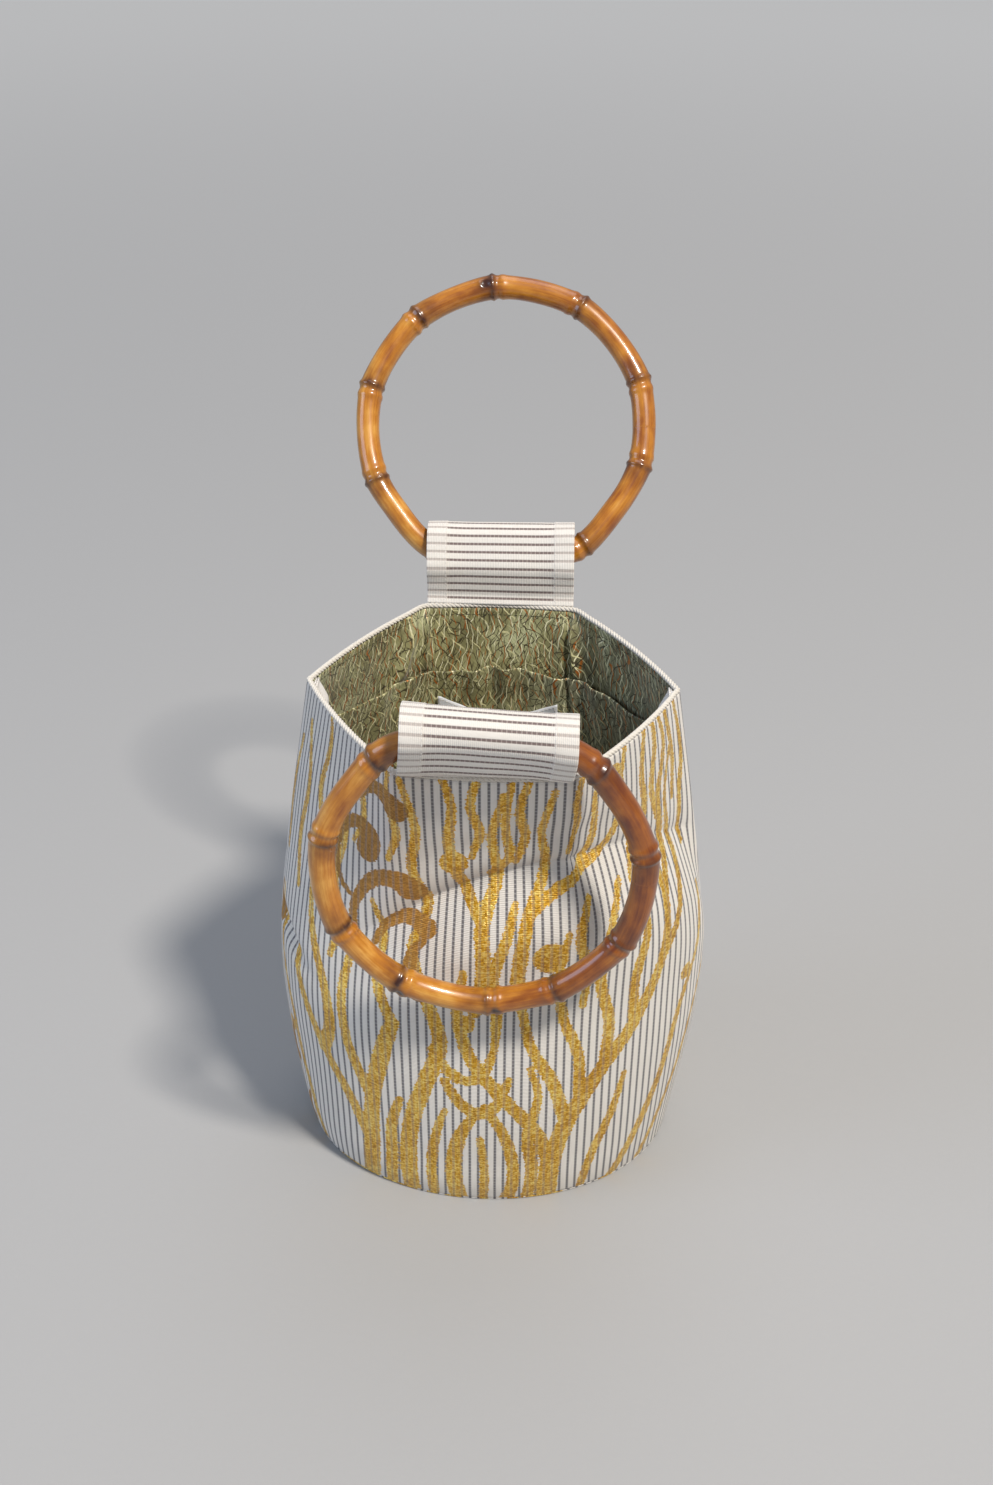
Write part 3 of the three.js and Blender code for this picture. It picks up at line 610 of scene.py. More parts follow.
lining_foot = [wall(side, oval_columns, [LINING_FOOT], 2.2)[0][0] for side in (-1, 1)]
lining_oval = oval(
    "lining_oval", lining_foot,
    [MIDDLE, 60, 50, 40, 30, 22, 15, 9, 5, 2, 0.4, 0.2], lining_print,
    [4.6, 4.6, 4.6, 4.6, 4.6, 4.6, 4.6, 4.6, 4.6, 4.7, 5.1, 5.3],
    flip=True, extra=lambda x, y: 0.5 * (ripple(x / 40, y / 40, 51) + 0.2).clip(0),
)
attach(lining_oval, "bag")
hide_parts("lining_base")


# Pocket: a strip of the lining cloth sewn across the back lining at its foot
# and ends. Its hemmed top edge is gathered a little, so it waves and gapes.
POCKET_FOOT, POCKET_TOP, POCKET_REACH = 98.0, 216.0, 0.86
POCKET_ROWS, POCKET_COLUMNS, POCKET_THICK = 92, 221, 1.1


def pocket_stand(along, across, height):
    """How far in from the outer face the pocket's near side is."""
    share = ((height - POCKET_FOOT) / (POCKET_TOP - POCKET_FOOT)).clip(0, 1.05)
    gape = 9.0 * np.cos(along / POCKET_REACH * math.pi / 2).clip(0) * share ** 3
    coarse = np.sin(across / 4.1 + 1.4 * np.sin(across / 13))
    gathers = gape * (0.16 * coarse + 0.1 * np.sin(across / 2.3 + height / 31)) * share
    soft = 0.5 * ripple(across / 26, height / 40, 61).clip(0) * rise((height - POCKET_FOOT) / 20)
    # one pleat runs down to the right of the label
    pleat_at = 43 + 0.06 * (POCKET_TOP - height)
    pleat = 2.2 * np.exp(-(((across - pleat_at) / 4.5) ** 2)) * rise((height - 120) / 50)
    return 3.2 + gape + gathers + soft + pleat


pocket_along = np.linspace(-POCKET_REACH, POCKET_REACH, POCKET_COLUMNS)
# up the near side, round the hem and a little way down behind it
rising = np.linspace(POCKET_FOOT, POCKET_TOP - 0.5, POCKET_ROWS)
hem_turn = np.linspace(0, math.pi, 6)[1:-1]
behind = [POCKET_TOP - 0.5, POCKET_TOP - 4, POCKET_TOP - 10, POCKET_TOP - 18]
pocket_heights = np.concatenate([rising, POCKET_TOP - 0.5 + 0.5 * np.sin(hem_turn), behind])
far_side = np.concatenate([np.zeros(POCKET_ROWS), 0.5 - 0.5 * np.cos(hem_turn), np.ones(len(behind))])
across, up = wall(1, pocket_along, pocket_heights)[1:]
stand = pocket_stand(pocket_along[None, :], across, up) - POCKET_THICK * far_side[:, None]
pocket_points = wall(1, pocket_along, pocket_heights, stand)[0]
top_wave = (
    2.6 * np.exp(-(((across + 6) / 30) ** 2)) - 2.2 * rise((np.abs(across) - 40) / 60)
    + 0.9 * np.sin(across / 9 + 1)
)
pocket_points[..., 2] += top_wave * rise((up - 150) / 66)
# the print is not matched to the wall behind it
pocket_uv = np.stack([across + 40, up - 60], -1)
pocket = piece("gathered_pocket", pocket_points, grid_faces(*across.shape), lining_print, pocket_uv)
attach(pocket, "bag")
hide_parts("inner_pocket")


# Label: a blank strip of white satin ribbon with its edges turned under, sewn
# to the pocket all round with a fine running stitch. The pocket sags between
# the label's upper corners and takes it down.
LABEL_RISE, LABEL_SAG = 9.5, 12.0
LABEL_ROWS, LABEL_COLUMNS = 25, 49
label_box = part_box("blank_label")
label_half = label_box[1].x / MM * 0.955
label_heights = np.linspace(label_box[0].z / MM, label_box[1].z / MM, LABEL_ROWS) + LABEL_RISE
# the label's columns, laid on a taller stretch of the pocket than it needs
searched = np.linspace(label_heights[0] - 14, label_heights[-1], 61)
label_across = np.linspace(-label_half, label_half, LABEL_COLUMNS)
across_one = wall(1, pocket_along, searched)[1]
label_along = np.array([np.interp(label_across, a, pocket_along) for a in across_one])
across, up = wall(1, label_along, searched)[1:]
curl = 0.9 * rise((np.abs(across) - 20) / 14) * rise((up - LABEL_RISE - 182) / 12)
lying = wall(1, label_along, searched, pocket_stand(label_along, across, up) + 0.9 + curl)[0]
sagging = label_heights[:, None] - LABEL_SAG * (1 - (np.abs(across[0] - 2) / 33) ** 1.5).clip(0)
label_points = np.stack([
    np.stack([np.interp(sagging[:, j], searched, lying[:, j, k]) for k in range(3)], -1)
    for j in range(LABEL_COLUMNS)
], 1)
# satin ribbon: smooth and a little glossy, with ribs 0.7 mm apart across it
ribbon, tree, shader = new_material("white_satin_ribbon")
uv = add(tree, "ShaderNodeUVMap", uv_map="UVMap")
rib_values = {0: uv, "Scale": 0.45, "Distortion": 0.3}
ribs = add(tree, "ShaderNodeTexWave", rib_values, bands_direction="Y").outputs[1]
uneven = add(tree, "ShaderNodeTexNoise", {0: uv, "Scale": 0.12, "Detail": 3.0})
whites = {0: uneven, 6: linear("#D5D8E0"), 7: linear("#EEF0F4")}
feed(tree, shader, {
    "Base Color": add(tree, "ShaderNodeMix", whites, data_type="RGBA").outputs[2],
    "Normal": add(tree, "ShaderNodeBump", {"Strength": 0.25, "Distance": 0.0001, "Height": ribs}),
    "Roughness": 0.5,
    "Sheen Weight": 0.1,
})
label_uv = np.stack(np.broadcast_arrays(across[0], label_heights[:, None]), -1)
label = piece("ribbon_label", label_points, grid_faces(LABEL_ROWS, LABEL_COLUMNS), ribbon, label_uv)
thickness = label.modifiers.new("thickness", "SOLIDIFY")
thickness.thickness, thickness.offset = 0.4 * MM, -1
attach(label, "bag")
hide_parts("blank_label")


# Stitching: polyester thread, a running stitch of little sunken ovals. One
# tree lays the stitches along a line of points on the cloth.
def new_group(name, shape, numbers):
    """A Geometry Nodes group that takes a shape and numbers: the group, its input node and its sockets."""
    group = bpy.data.node_groups.new(name, "GeometryNodeTree")
    kinds = [(shape, "NodeSocketGeometry")] + [(number, "NodeSocketFloat") for number in numbers]
    sockets = {
        key: group.interface.new_socket(key, in_out="INPUT", socket_type=kind).identifier
        for key, kind in kinds
    }
    group.interface.new_socket("Mesh", in_out="OUTPUT", socket_type="NodeSocketGeometry")
    return group, add(group, "NodeGroupInput"), sockets


def close_group(group, shape, material):
    """Makes the shape real, smooth and of a material, and puts it out."""
    real = add(group, "GeometryNodeRealizeInstances", {0: shape})
    smooth = add(group, "GeometryNodeSetShadeSmooth", {0: real})
    dressed = add(group, "GeometryNodeSetMaterial", {0: smooth, "Material": material})
    add(group, "NodeGroupOutput", {0: dressed})


def stitch_tree(material):
    group, given, sockets = new_group("running_stitch", "Seam", ("Pitch", "Stitch length", "Thread"))
    pitch, length, thread_width = given.outputs[1], given.outputs[2], given.outputs[3]
    curve = add(group, "GeometryNodeMeshToCurve", {0: given})
    spaced = add(group, "GeometryNodeResampleCurve", {0: curve, "Length": pitch}, mode="LENGTH")
    tangent = add(group, "GeometryNodeInputTangent")
    turn = add(group, "FunctionNodeAlignRotationToVector", {"Vector": tangent}, axis="Z")
    ball = add(group, "GeometryNodeMeshUVSphere", {0: 6, 1: 5, 2: 0.5})
    size = add(group, "ShaderNodeCombineXYZ", {0: thread_width, 1: thread_width, 2: length})
    laid = add(group, "GeometryNodeInstanceOnPoints", {
        "Points": spaced, "Instance": ball, "Rotation": turn, "Scale": size,
    })
    close_group(group, laid, material)
    return group, sockets


def along_lines(name, lines, group, values, body, closed=False):
    """Runs a node tree along lines of points in millimetres, and keeps the result as a plain mesh."""
    points = np.concatenate(lines)
    edges, start = [], 0
    for line in lines:
        edges += [(start + k, start + k + 1) for k in range(len(line) - 1)]
        if closed:
            edges.append((start + len(line) - 1, start))
        start += len(line)
    mesh = bpy.data.meshes.new(name)
    mesh.from_pydata((points * MM).tolist(), edges, [])
    path = bpy.data.objects.new(name + "_path", mesh)
    bpy.context.scene.collection.objects.link(path)
    modifier = path.modifiers.new("along", "NODES")
    modifier.node_group = group
    for identifier, value in values.items():
        modifier[identifier] = value * MM
    bpy.context.view_layer.update()
    depsgraph = bpy.context.evaluated_depsgraph_get()
    made = bpy.data.objects.new(name, bpy.data.meshes.new_from_object(path.evaluated_get(depsgraph)))
    bpy.context.scene.collection.objects.link(made)
    path.modifiers.remove(modifier)
    bpy.data.objects.remove(path)
    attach(made, body)
    return made


# thread: spun polyester, matt, with its twist too fine to draw as shape
def thread(name, dark_code, light_code):
    material, tree, shader = new_material(name)
    place = add(tree, "ShaderNodeTexCoord").outputs["Object"]
    twist_values = {0: place, "Scale": 900.0, "Distortion": 1.0}
    twist = add(tree, "ShaderNodeTexWave", twist_values, bands_direction="DIAGONAL").outputs[1]
    shades = {0: twist, 6: linear(dark_code), 7: linear(light_code)}
    feed(tree, shader, {
        "Base Color": add(tree, "ShaderNodeMix", shades, data_type="RGBA").outputs[2],
        "Roughness": 0.75,
    })
    return material


white_stitch, white_sockets = stitch_tree(thread("white_polyester_thread", "#CFCAC4", "#F1EDE8"))
olive_stitch, olive_sockets = stitch_tree(thread("olive_polyester_thread", "#3C3B26", "#5E5C3E"))


def stitch_values(sockets, pitch, length, thickness):
    return {sockets["Pitch"]: pitch, sockets["Stitch length"]: length, sockets["Thread"]: thickness}


label_line = np.concatenate([
    label_points[1, 1:-1], label_points[2:-1, -2], label_points[-2, 1:-2][::-1], label_points[2:-2, 1][::-1],
])
label_values = stitch_values(white_sockets, 2.2, 1.4, 0.35)
label_stitches = along_lines("label_stitches", [label_line], white_stitch, label_values, "bag", closed=True)
seam_height = mouth_height - 3.0
seams = []
for side in (-1, 1):
    across, up = wall(side, lining_columns, [seam_height])[1:]
    seams.append(wall(side, lining_columns, [seam_height], lining_folds(side, across, up) + 0.1)[0][0])
# the pocket's hem is sewn about 9 mm down from its top
seams.append(pocket_points[84])
lining_values = stitch_values(olive_sockets, 2.6, 1.7, 0.4)
lining_stitches = along_lines("lining_stitches", seams, olive_stitch, lining_values, "bag")


# Piping: an off-white cotton cord of three strands, about 2.8 mm thick, sewn
# on top of the mouth over the edges of the cloth and the lining.
def cord_tree(material):
    group, given, sockets = new_group("three_strand_cord", "Line", ("Lay length", "Strand radius", "Spacing"))
    lay, radius, spacing = given.outputs[1], given.outputs[2], given.outputs[3]
    curve = add(group, "GeometryNodeMeshToCurve", {0: given})
    spaced = add(group, "GeometryNodeResampleCurve", {0: curve, "Length": spacing}, mode="LENGTH")
    upright = add(group, "GeometryNodeSetCurveNormal", {0: spaced}, mode="Z_UP")
    covered = add(group, "GeometryNodeSplineParameter").outputs["Length"]
    turns = add(group, "ShaderNodeMath", {0: covered, 1: lay}, operation="DIVIDE")
    normal = add(group, "GeometryNodeInputNormal")
    tangent = add(group, "GeometryNodeInputTangent")
    sideways = add(group, "ShaderNodeVectorMath", {0: tangent, 1: normal}, operation="CROSS_PRODUCT")
    profile = add(group, "GeometryNodeCurvePrimitiveCircle", {"Resolution": 6, "Radius": radius})
    strands = add(group, "GeometryNodeJoinGeometry")
    for strand in range(3):
        ahead = strand * 2 * math.pi / 3
        angle = add(group, "ShaderNodeMath", {0: turns, 1: 2 * math.pi, 2: ahead}, operation="MULTIPLY_ADD")
        parts = []
        for axis, operation in ((normal, "COSINE"), (sideways, "SINE")):
            share = add(group, "ShaderNodeMath", {0: angle}, operation=operation)
            reach = add(group, "ShaderNodeMath", {0: share, 1: radius}, operation="MULTIPLY")
            parts.append(add(group, "ShaderNodeVectorMath", {0: axis, "Scale": reach}, operation="SCALE"))
        offset = add(group, "ShaderNodeVectorMath", {0: parts[0], 1: parts[1]}, operation="ADD")
        wound = add(group, "GeometryNodeSetPosition", {0: upright, "Offset": offset})
        feed(group, strands, {0: add(group, "GeometryNodeCurveToMesh", {0: wound, 1: profile})})
    close_group(group, strands, material)
    return group, sockets


# cotton cord: matt, with a fine fuzz of shade differences, each 0.7 mm across
cotton, tree, shader = new_material("twisted_cotton_cord")
place = add(tree, "ShaderNodeTexCoord").outputs["Object"]
fuzz = add(tree, "ShaderNodeTexNoise", {0: place, "Scale": 1400.0, "Detail": 2.0})
cottons = {0: fuzz, 6: linear("#BFB8AC"), 7: linear("#F0EBE2")}
feed(tree, shader, {
    "Base Color": add(tree, "ShaderNodeMix", cottons, data_type="RGBA").outputs[2],
    "Normal": add(tree, "ShaderNodeBump", {"Strength": 0.4, "Distance": 0.0001, "Height": fuzz}),
    "Roughness": 0.85,
    "Sheen Weight": 0.15,
})

STRAND_RADIUS, LAY_LENGTH = 0.7, 6.5
rim = [wall(side, np.linspace(-1, 1, 121), [mouth_height], 1.15)[0][0] for side in (-1, 1)]
rim_line = np.concatenate([rim[0][:-1], rim[1][::-1][:-1]])
rim_line[:, 2] = mouth_height + 2 * STRAND_RADIUS
rim_length = np.linalg.norm(np.diff(rim_line, axis=0, append=rim_line[:1]), axis=1).sum()
cord_group, cord_sockets = cord_tree(cotton)
piping = along_lines("mouth_piping", [rim_line], cord_group, {
    # a whole number of turns, so that the strands meet where the cord closes
    cord_sockets["Lay length"]: rim_length / round(rim_length / LAY_LENGTH),
    cord_sockets["Strand radius"]: STRAND_RADIUS,
    cord_sockets["Spacing"]: 0.8,
}, "bag", closed=True)
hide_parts("rim_piping")


# Handle tabs: a band of the brocade with its stripes across, folded in at its
# long edges, looped over the cane and sewn in at the middle of each mouth edge.
TAB_WIDTH, TAB_COLUMNS = 72, 73
# the slits' dark mauve grey here is painted shade; at the hems white cloth behind makes them paler
plain_brocade = brocade("silk_brocade_white_striped", "#776864", "#B3A7A1", False)


def loop_path(sewn, low, high, radius, below=0.0):
    """The middle of a folded band that opens into a loop: thickness and height."""
    taper = math.asin(radius / (low - sewn))
    bottom = [(-0.5, -below), (-0.5, sewn)]
    start = np.array([-radius * math.cos(taper), low - radius * math.sin(taper)])
    leg = [tuple(np.array(bottom[1]) * (1 - t) + start * t) for t in np.linspace(0, 1, 9)[1:-1]]
    low_turn, high_turn = np.linspace(math.pi + taper, math.pi, 5), np.linspace(math.pi, math.pi / 2, 13)
    arc = [(radius * math.cos(a), low + radius * math.sin(a)) for a in low_turn]
    top = [(radius * math.cos(a), high + radius * math.sin(a)) for a in high_turn]
    half = np.array(bottom + leg + arc + top)
    return np.concatenate([half, (half * [-1, 1])[::-1][1:]])


def band(name, path, root, upwards, outwards, width, cloth, columns, material, warp):
    """A band of cloth along a path, and the points of its outer face."""
    along = np.concatenate([[0], np.cumsum(np.linalg.norm(np.diff(path, axis=0), axis=1))])
    fine = np.linspace(0, along[-1], int(along[-1] / 0.8) + 2)
    line = np.column_stack([np.interp(fine, along, path[:, k]) for k in (0, 1)])
    ahead = np.gradient(line, axis=0)
    out = np.column_stack([-ahead[:, 1], ahead[:, 0]])
    out /= np.linalg.norm(out, axis=1, keepdims=True)
    half = cloth / 2
    # round the band: its outer face, one edge, its inner face, the other edge
    x = np.linspace(-width / 2 + half, width / 2 - half, columns)
    turn = np.linspace(-math.pi / 2, math.pi / 2, 5)[1:-1]
    edge_x, edge_out = half * np.cos(turn), half * np.sin(turn)
    ring_x = np.concatenate([x, x[-1] + edge_x[::-1], x[::-1], x[0] - edge_x])
    ring_out = np.concatenate([np.full(columns, half), edge_out[::-1], np.full(columns, -half), edge_out])
    sideways = np.cross(upwards, outwards)
    shift, lift, slide = np.broadcast_arrays(*warp(ring_x[None, :], fine[:, None], line[:, 1][:, None]))
    flat = line[:, None] + out[:, None] * (ring_out[None, :] + shift)[..., None]
    points = (
        np.array(root) + flat[..., 0:1] * np.array(outwards)
        + (flat[..., 1:2] + lift[..., None]) * np.array(upwards)
        + (ring_x[None, :] + slide)[..., None] * sideways
    )
    rows, ring = flat.shape[:2]
    uv = np.stack(np.broadcast_arrays(fine[:, None] + 0.7, ring_x[None, :]), -1)
    faces = grid_faces(rows, ring, round_columns=True, flip=True)
    ends = [list(range(ring)), list(range((rows - 1) * ring, rows * ring))[::-1]]
    return piece(name, points, faces, material, uv, ends=ends), points[:, :columns]


# for each tab: its leaning angle, its loop's low and high centres and its hole's
# radius as in the CAD, the room the cane's curve needs, its sag and a seed
for name, side, lean, low, high, radius, room, sag, seed in (
    ("front", -1, 22.5, 15.96, 28.16, 8.94, 0.9, 2.7, 76),
    ("back", 1, 33.0, 17.9, 30.1, 7.0, 2.0, -0.5, 75),
):
    tilt = math.radians(lean)
    upwards = np.array([0, side * math.sin(tilt), math.cos(tilt)])
    outwards = np.array([0, -math.cos(tilt), side * math.sin(tilt)])

    def warp(x, along, height, sag=sag, seed=seed, high=high):
        """How a point of the tab is moved out, up and sideways."""
        # the hems are thicker, and the loop opens towards its ends for the turning cane
        hem = 0.25 * rise((np.abs(x) - TAB_HEM) / 0.8)
        opened = rise((np.abs(x) - 16) / 20) * rise((height - 7) / 9) * (1 - rise((height - high) / 8))
        hem = hem + 1.5 * opened
        soft = 0.28 * ripple(x / 30, along / 26, seed) * rise(height / 8)
        return hem + soft, -sag * x / (TAB_WIDTH / 2) * rise(height / 30), sag * rise(height / 34)

    path = loop_path(3.0, low, high, radius + room, below=1.4)
    root = (0, side * 80.85, mouth_height + 3.3)
    tab, face = band(
        f"{name}_tab", path, root, upwards, outwards, TAB_WIDTH, 0.9, TAB_COLUMNS, plain_brocade, warp,
    )
    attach(tab, "bag")
    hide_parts(f"{name}_handle_tab")
    hems = [face[3:-3, k] for k in (9, TAB_COLUMNS - 10)]
    hem_values = stitch_values(white_sockets, 2.4, 1.6, 0.38)
    hem_stitches = along_lines(f"{name}_tab_stitches", hems, white_stitch, hem_values, "bag")


# Rings: lacquered bamboo cane, heated and bent into a ring, with its ends
# pegged together inside the tab. Each joint of the cane is a raised double lip.
CANE_CIRCLE, CANE_RADIUS = 69.0, 5.75
STATIONS, AROUND = 780, 28
# how far the cane's arc rises over the tab's width
ARC_RISE = CANE_CIRCLE * (1 - math.cos(math.asin(TAB_WIDTH / 2 / CANE_CIRCLE)))
cane, tree, shader = new_material("lacquered_bamboo")
uv = add(tree, "ShaderNodeUVMap", uv_map="UVMap")
# fibres run along the cane, 0.5 to 1 mm wide and tens of millimetres long
drawn = add(tree, "ShaderNodeMapping", {0: uv, 3: (0.035, 0.9, 1)})
fibre = add(tree, "ShaderNodeTexNoise", {0: drawn, "Scale": 1.0, "Detail": 5.0, "Roughness": 0.65})
cloudy = add(tree, "ShaderNodeMapping", {0: uv, 3: (0.07, 0.14, 1)})
mottle = add(tree, "ShaderNodeTexNoise", {0: cloudy, "Scale": 1.0, "Detail": 4.0})
toast = add(tree, "ShaderNodeAttribute", attribute_name="toast").outputs[2]
burn = add(tree, "ShaderNodeAttribute", attribute_name="burn").outputs[2]
tone = add(tree, "ShaderNodeMath", {0: fibre, 1: 0.5, 2: toast}, operation="MULTIPLY_ADD")
tone = add(tree, "ShaderNodeMath", {0: mottle, 1: 0.9, 2: tone}, operation="MULTIPLY_ADD")
amber = add(tree, "ShaderNodeValToRGB", {0: tone})
light, dark = amber.color_ramp.elements
light.position, light.color = 0.32, linear("#DB9F45")
dark.position, dark.color = 1.0, linear("#6A2E0C")
amber.color_ramp.elements.new(0.5).color = linear("#C27D22")
amber.color_ramp.elements.new(0.74).color = linear("#98540F")
patchy = add(tree, "ShaderNodeMath", {0: mottle, 1: 1.5, 2: -0.25}, operation="MULTIPLY_ADD")
scorched = add(tree, "ShaderNodeMath", {0: patchy, 1: burn}, operation="MULTIPLY", use_clamp=True)
browns = {0: scorched, 6: amber, 7: linear("#3A1705")}
feed(tree, shader, {
    "Base Color": add(tree, "ShaderNodeMix", browns, data_type="RGBA").outputs[2],
    "Roughness": add(tree, "ShaderNodeMapRange", {0: fibre, 3: 0.22, 4: 0.42}),
    "Normal": add(tree, "ShaderNodeBump", {"Strength": 0.3, "Distance": 0.00025, "Height": fibre}),
    "Coat Weight": 0.8,
    "Coat Roughness": 0.07,
    "IOR": 1.5,
})

# for each ring: its lean, its joints' angles, whether the tab holds its top or its
# foot, the angle of its darkest side and how dark that is, a seed, and its bud
# scars, each by its place round the ring and its turn round the cane
for name, side, lean, joints, up_side, dark_at, darkness, seed, scars in (
    ("front", -1, 0.0, (9, 47, 129, 167, 205, 237, 272, 299, 332), 1, 20, 0.34, 5, ((237, 60), (272, 75))),
    ("back", 1, 33.0, (-54, -16, 20, 59, 97, 130, 165, 205, 241), -1, 35, 0.12, 8, ((97, 80),)),
):
    joint = next(j for j in frame["joints"] if j["name"] == f"{name}_ring_turn")
    pivot = np.array(joint["pos_m"]) / MM
    upwards = np.array([0, math.sin(math.radians(lean)), math.cos(math.radians(lean))])
    pivot_height = up_side * (CANE_CIRCLE - ARC_RISE / 2)
    centre = pivot - pivot_height * upwards
    angle = np.arange(STATIONS) * 360 / STATIONS
    cosine, sine = np.cos(np.radians(angle)), np.sin(np.radians(angle))
    turn = np.arange(AROUND) * 2 * math.pi / AROUND
    # how thick the cane is along its length, with two lips and a waist at each joint
    away = (angle[:, None] - np.array(joints)[None, :] + 180) % 360 - 180
    nearest = np.argmin(np.abs(away), axis=1)
    gap = np.radians(away[np.arange(STATIONS), nearest]) * CANE_CIRCLE
    random = np.random.default_rng(seed)
    lip = random.uniform(0.75, 1.0, 9)[nearest]
    second = random.uniform(0.25, 0.6, 9)[nearest]
    way = random.choice([-1, 1], 9)[nearest]
    girth = (
        CANE_RADIUS + 0.3 * np.exp(-((gap / 9) ** 2)) + 0.78 * lip * np.exp(-((gap / 1.1) ** 2))
        - 0.28 * np.exp(-(((gap - 2.6 * way) / 1.1) ** 2))
        + second * np.exp(-(((gap - 5.2 * way) / 1.5) ** 2))
        + 0.12 * ripple(angle / 23, 0, 81 + side)
    )
    # between joints the cane is nearly straight, except inside the tab
    order = np.sort(np.array(joints) % 360)
    length_of = np.searchsorted(order, angle, side="right") % 9
    first, last = order[length_of - 1], order[length_of]
    share = ((angle - first) % 360) / ((last - first) % 360)
    from_tab = (first + ((last - first) % 360) / 2 - 90 * up_side + 180) % 360 - 180
    flatten = np.where(np.abs(from_tab) < 25, 0.0, -0.9) * np.sin(math.pi * share) + 0.2
    relief = np.broadcast_to(girth[:, None], (STATIONS, AROUND)).copy()
    burnt = np.exp(-((gap / 2.2) ** 2)) * random.uniform(0.7, 1.5, 9)[nearest]
    burnt = burnt + 0.55 * np.exp(-(((gap + 4 * way) / 6) ** 2))
    burnt = np.broadcast_to(burnt[:, None], relief.shape).copy()
    for scar_at, scar_turn in scars:
        # a bud scar: a sunken dark eye in a raised rim, 3.2 degrees past its joint
        du = np.radians((angle - scar_at - 3.2 + 180) % 360 - 180)[:, None] * CANE_CIRCLE
        dv = ((turn - math.radians(scar_turn) + math.pi) % (2 * math.pi) - math.pi)[None, :] * CANE_RADIUS
        eye = (du / 2.6) ** 2 + (dv / 1.9) ** 2
        relief += 0.5 * np.exp(-((np.sqrt(eye) - 1.0) / 0.35) ** 2) - 0.7 * np.exp(-eye * 1.4)
        burnt += 2.2 * np.exp(-eye * 1.1)
    spoke = cosine[:, None] * np.array([1.0, 0, 0]) + sine[:, None] * upwards
    axis = np.cross([1.0, 0, 0], upwards)
    points = (
        centre + spoke[:, None] * (CANE_CIRCLE + flatten[:, None] + relief * np.cos(turn)[None, :])[..., None]
        + axis * (relief * np.sin(turn)[None, :])[..., None]
    )
    # inside the tab the cane is straighter, and so it turns there without much room
    beside = np.abs(CANE_CIRCLE * cosine)
    above_pivot = CANE_CIRCLE * sine * up_side - (CANE_CIRCLE - ARC_RISE / 2)
    straighter = np.where(above_pivot > -25, -0.75 * (1 - rise((beside - 18) / 38)) * above_pivot, 0.0)
    points = points + (up_side * straighter)[:, None, None] * upwards
    toasted = darkness * rise(0.5 + 0.8 * np.cos(np.radians(angle - dark_at))) - 0.2
    uv = np.stack(np.broadcast_arrays(
        np.radians(angle)[:, None] * CANE_CIRCLE, turn[None, :] * CANE_RADIUS,
    ), -1)
    faces = grid_faces(STATIONS, AROUND, round_columns=True, round_rows=True, flip=True)
    ring = piece(
        f"{name}_bamboo_ring_cane", points, faces, cane, uv,
        {"toast": np.broadcast_to(toasted[:, None], relief.shape), "burn": burnt},
    )
    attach(ring, f"{name}_handle")
    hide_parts(f"{name}_bamboo_ring")


# Side tabs and D-rings: a short white tape folded round a bent steel D in each
# corner of the mouth, for hooking on a strap. The steel is black-plated.
D_HALF, D_BOW, WIRE_RADIUS, WIRE_SIDES = 7.0, 11.0, 1.0, 14
TAPE_WIDTH, TAPE_COLUMNS, TAPE_THICK = 9, 13, 0.8
# plated steel: a dark mirror that is a little cloudy where it is rubbed
plated, tree, shader = new_material("black_nickel_plated_steel")
place = add(tree, "ShaderNodeTexCoord").outputs["Object"]
rubbed = add(tree, "ShaderNodeTexNoise", {0: place, "Scale": 420.0, "Detail": 3.0})
blacks = {0: rubbed, 6: linear("#33363B"), 7: linear("#5C6066")}
feed(tree, shader, {
    "Base Color": add(tree, "ShaderNodeMix", blacks, data_type="RGBA").outputs[2],
    "Roughness": add(tree, "ShaderNodeMapRange", {0: rubbed, 3: 0.18, 4: 0.34}),
    "Metallic": 1.0,
})

# cotton tape: matt, with its twill's ribs 1.4 mm apart
tape, tree, shader = new_material("white_cotton_tape")
uv = add(tree, "ShaderNodeUVMap", uv_map="UVMap")
twill_values = {0: uv, "Scale": 0.31, "Distortion": 0.2}
twill = add(tree, "ShaderNodeTexWave", twill_values, bands_direction="DIAGONAL").outputs[1]
whites = {0: twill, 6: linear("#D3CEC8"), 7: linear("#F1EEEA")}
feed(tree, shader, {
    "Base Color": add(tree, "ShaderNodeMix", whites, data_type="RGBA").outputs[2],
    "Normal": add(tree, "ShaderNodeBump", {"Strength": 0.35, "Distance": 0.00012, "Height": twill}),
    "Roughness": 0.8,
})

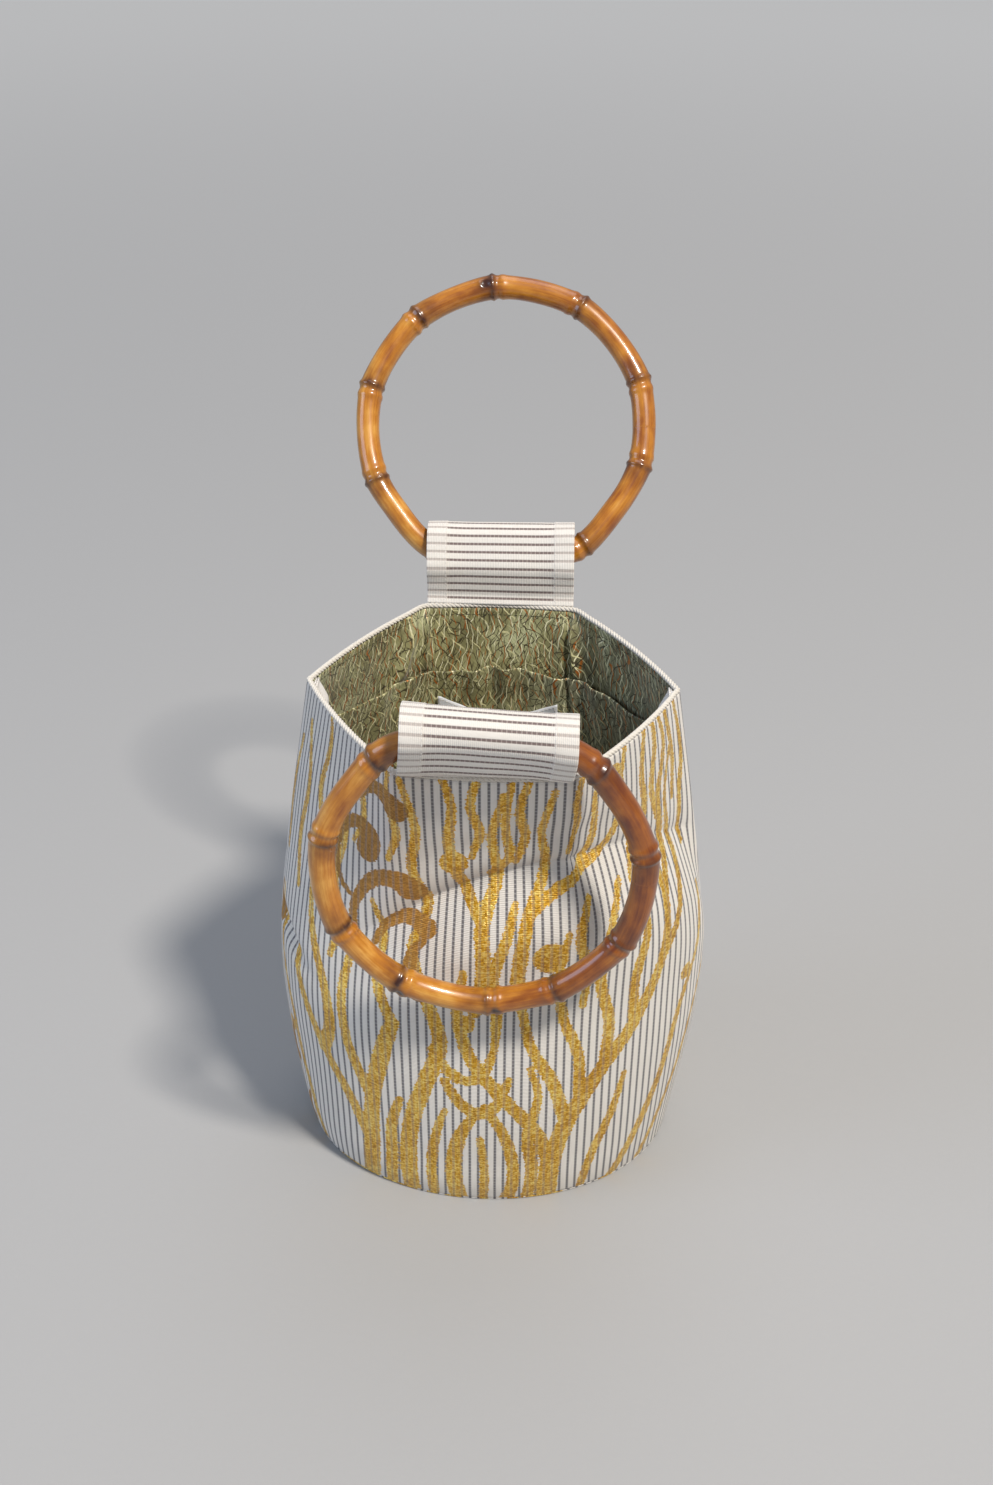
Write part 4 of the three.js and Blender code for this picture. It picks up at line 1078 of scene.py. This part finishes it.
for name, side in (("left", -1), ("right", 1)):
    joint = next(j for j in frame["joints"] if j["name"] == f"{name}_d_ring_swing")
    bar = np.array(joint["pos_m"]) / MM
    top = np.array([side * 80.8, 0, mouth_height + 0.2])
    reach = np.linalg.norm(bar - top)
    downwards = (bar - top) / reach
    outwards = np.cross([0, -side, 0], downwards) * -1.0
    tab = band(
        f"{name}_tape_tab", loop_path(2.0, reach - 0.9, reach + 0.5, 3.3), top, downwards, outwards,
        TAPE_WIDTH, TAPE_THICK, TAPE_COLUMNS, tape,
        lambda x, along, height: (0.12 * np.sin(along / 3.1 + x / 2) * rise(height / 4), 0.0, 0.0),
    )[0]
    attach(tab, "bag")
    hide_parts(f"{name}_side_tab")
    # the D: a straight bar, two tight bends and a bow, which is one cubic curve
    t = np.linspace(0, 1, 60)[1:-1, None]
    corner = np.array([[D_HALF, 0.0], [D_HALF, -1.25 * D_BOW], [-D_HALF, -1.25 * D_BOW], [-D_HALF, 0.0]])
    curve = (
        (1 - t) ** 3 * corner[0] + 3 * t * (1 - t) ** 2 * corner[1]
        + 3 * t * t * (1 - t) * corner[2] + t ** 3 * corner[3]
    )
    straight = np.column_stack([np.linspace(-D_HALF + 0.6, D_HALF - 0.6, 24), np.zeros(24)])
    line = np.concatenate([straight, [[D_HALF - 0.1, -0.15]], curve, [[-D_HALF + 0.1, -0.15]]])
    ahead = np.roll(line, -1, axis=0) - np.roll(line, 1, axis=0)
    ahead /= np.linalg.norm(ahead, axis=1, keepdims=True)
    out = np.column_stack([ahead[:, 1], -ahead[:, 0]])
    turn = np.arange(WIRE_SIDES) * 2 * math.pi / WIRE_SIDES
    section = line[:, None] + out[:, None] * (WIRE_RADIUS * np.cos(turn))[None, :, None]
    thick = np.broadcast_to(WIRE_RADIUS * np.sin(turn)[None, :], section.shape[:2])
    points = np.stack([thick, section[..., 0], section[..., 1]], -1) + bar
    faces = grid_faces(*section.shape[:2], round_columns=True, round_rows=True, flip=True)
    d_ring = piece(f"{name}_steel_d", points, faces, plated)
    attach(d_ring, f"{name}_link")
    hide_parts(f"{name}_d_ring")


# Studio: a plain pale floor and three soft lamps. The key is above the front
# right, as the ring's shadow on the bag says; a cooler one is on the left.
FLOOR_REACH, FLOOR_HEIGHT = 9000, -0.2
painted, tree, shader = new_material("matt_painted_floor")
# a fine orange-peel of 3 mm, hardly visible, keeps the paint from looking flat
place = add(tree, "ShaderNodeTexCoord").outputs["Object"]
peel = add(tree, "ShaderNodeTexNoise", {0: place, "Scale": 330.0, "Detail": 2.0})
# far off, where the lamps don't reach, the floor shows the camera the same pale grey
far_off = add(tree, "ShaderNodeVectorMath", {0: place}, operation="LENGTH").outputs["Value"]
fading = {0: far_off, 1: 0.5, 2: 4.0, 4: 0.62}
faded = add(tree, "ShaderNodeMapRange", fading, interpolation_type="SMOOTHSTEP")
seen = add(tree, "ShaderNodeLightPath").outputs["Is Camera Ray"]
feed(tree, shader, {
    "Base Color": linear("#ABABAB"),
    "Normal": add(tree, "ShaderNodeBump", {"Strength": 0.12, "Distance": 0.0006, "Height": peel}),
    "Emission Color": linear("#B4B4B4"),
    "Emission Strength": add(tree, "ShaderNodeMath", {0: faded, 1: seen}, operation="MULTIPLY"),
    "Roughness": 0.9,
    "Specular IOR Level": 0.05,
})
corners = [(FLOOR_REACH * x, FLOOR_REACH * y, FLOOR_HEIGHT) for x, y in ((-1, -1), (1, -1), (1, 1), (-1, 1))]
floor = piece("floor", corners, [(0, 1, 2, 3)], painted)

for name, place, size, watts, tint in (
    ("key", (1.6, -1.75, 3.75), 0.6, 186, "#FFF8EE"),
    ("fill", (-2.6, -0.9, 1.3), 1.8, 26, "#C6DDFF"),
    ("top", (0.2, 1.2, 3.2), 2.4, 22, "#F4F6FF"),
):
    lamp = bpy.data.lights.new(name, "AREA")
    lamp.shape, lamp.size, lamp.energy, lamp.color = "DISK", size, watts, linear(tint)[:3]
    holder = bpy.data.objects.new(name, lamp)
    holder.location = place
    holder.rotation_mode = "QUATERNION"
    holder.rotation_quaternion = (Vector((0, 0, 0.15)) - Vector(place)).to_track_quat("-Z", "Y")
    bpy.context.scene.collection.objects.link(holder)

# the world lights the bag with a pale sky, and shows the camera a plain grey
world = bpy.data.worlds.new("studio")
bpy.context.scene.world = world
world.use_nodes = True
tree = world.node_tree
sky = tree.nodes["Background"]
feed(tree, sky, {"Color": linear("#DDE2EA"), "Strength": 0.37})
backdrop = add(tree, "ShaderNodeBackground", {"Color": linear("#AEAEAE"), "Strength": 1.0})
seen = add(tree, "ShaderNodeLightPath").outputs["Is Camera Ray"]
feed(tree, tree.nodes["World Output"], {
    "Surface": add(tree, "ShaderNodeMixShader", {0: seen, 1: sky, 2: backdrop}),
})
bpy.context.scene.view_settings.view_transform = "Standard"
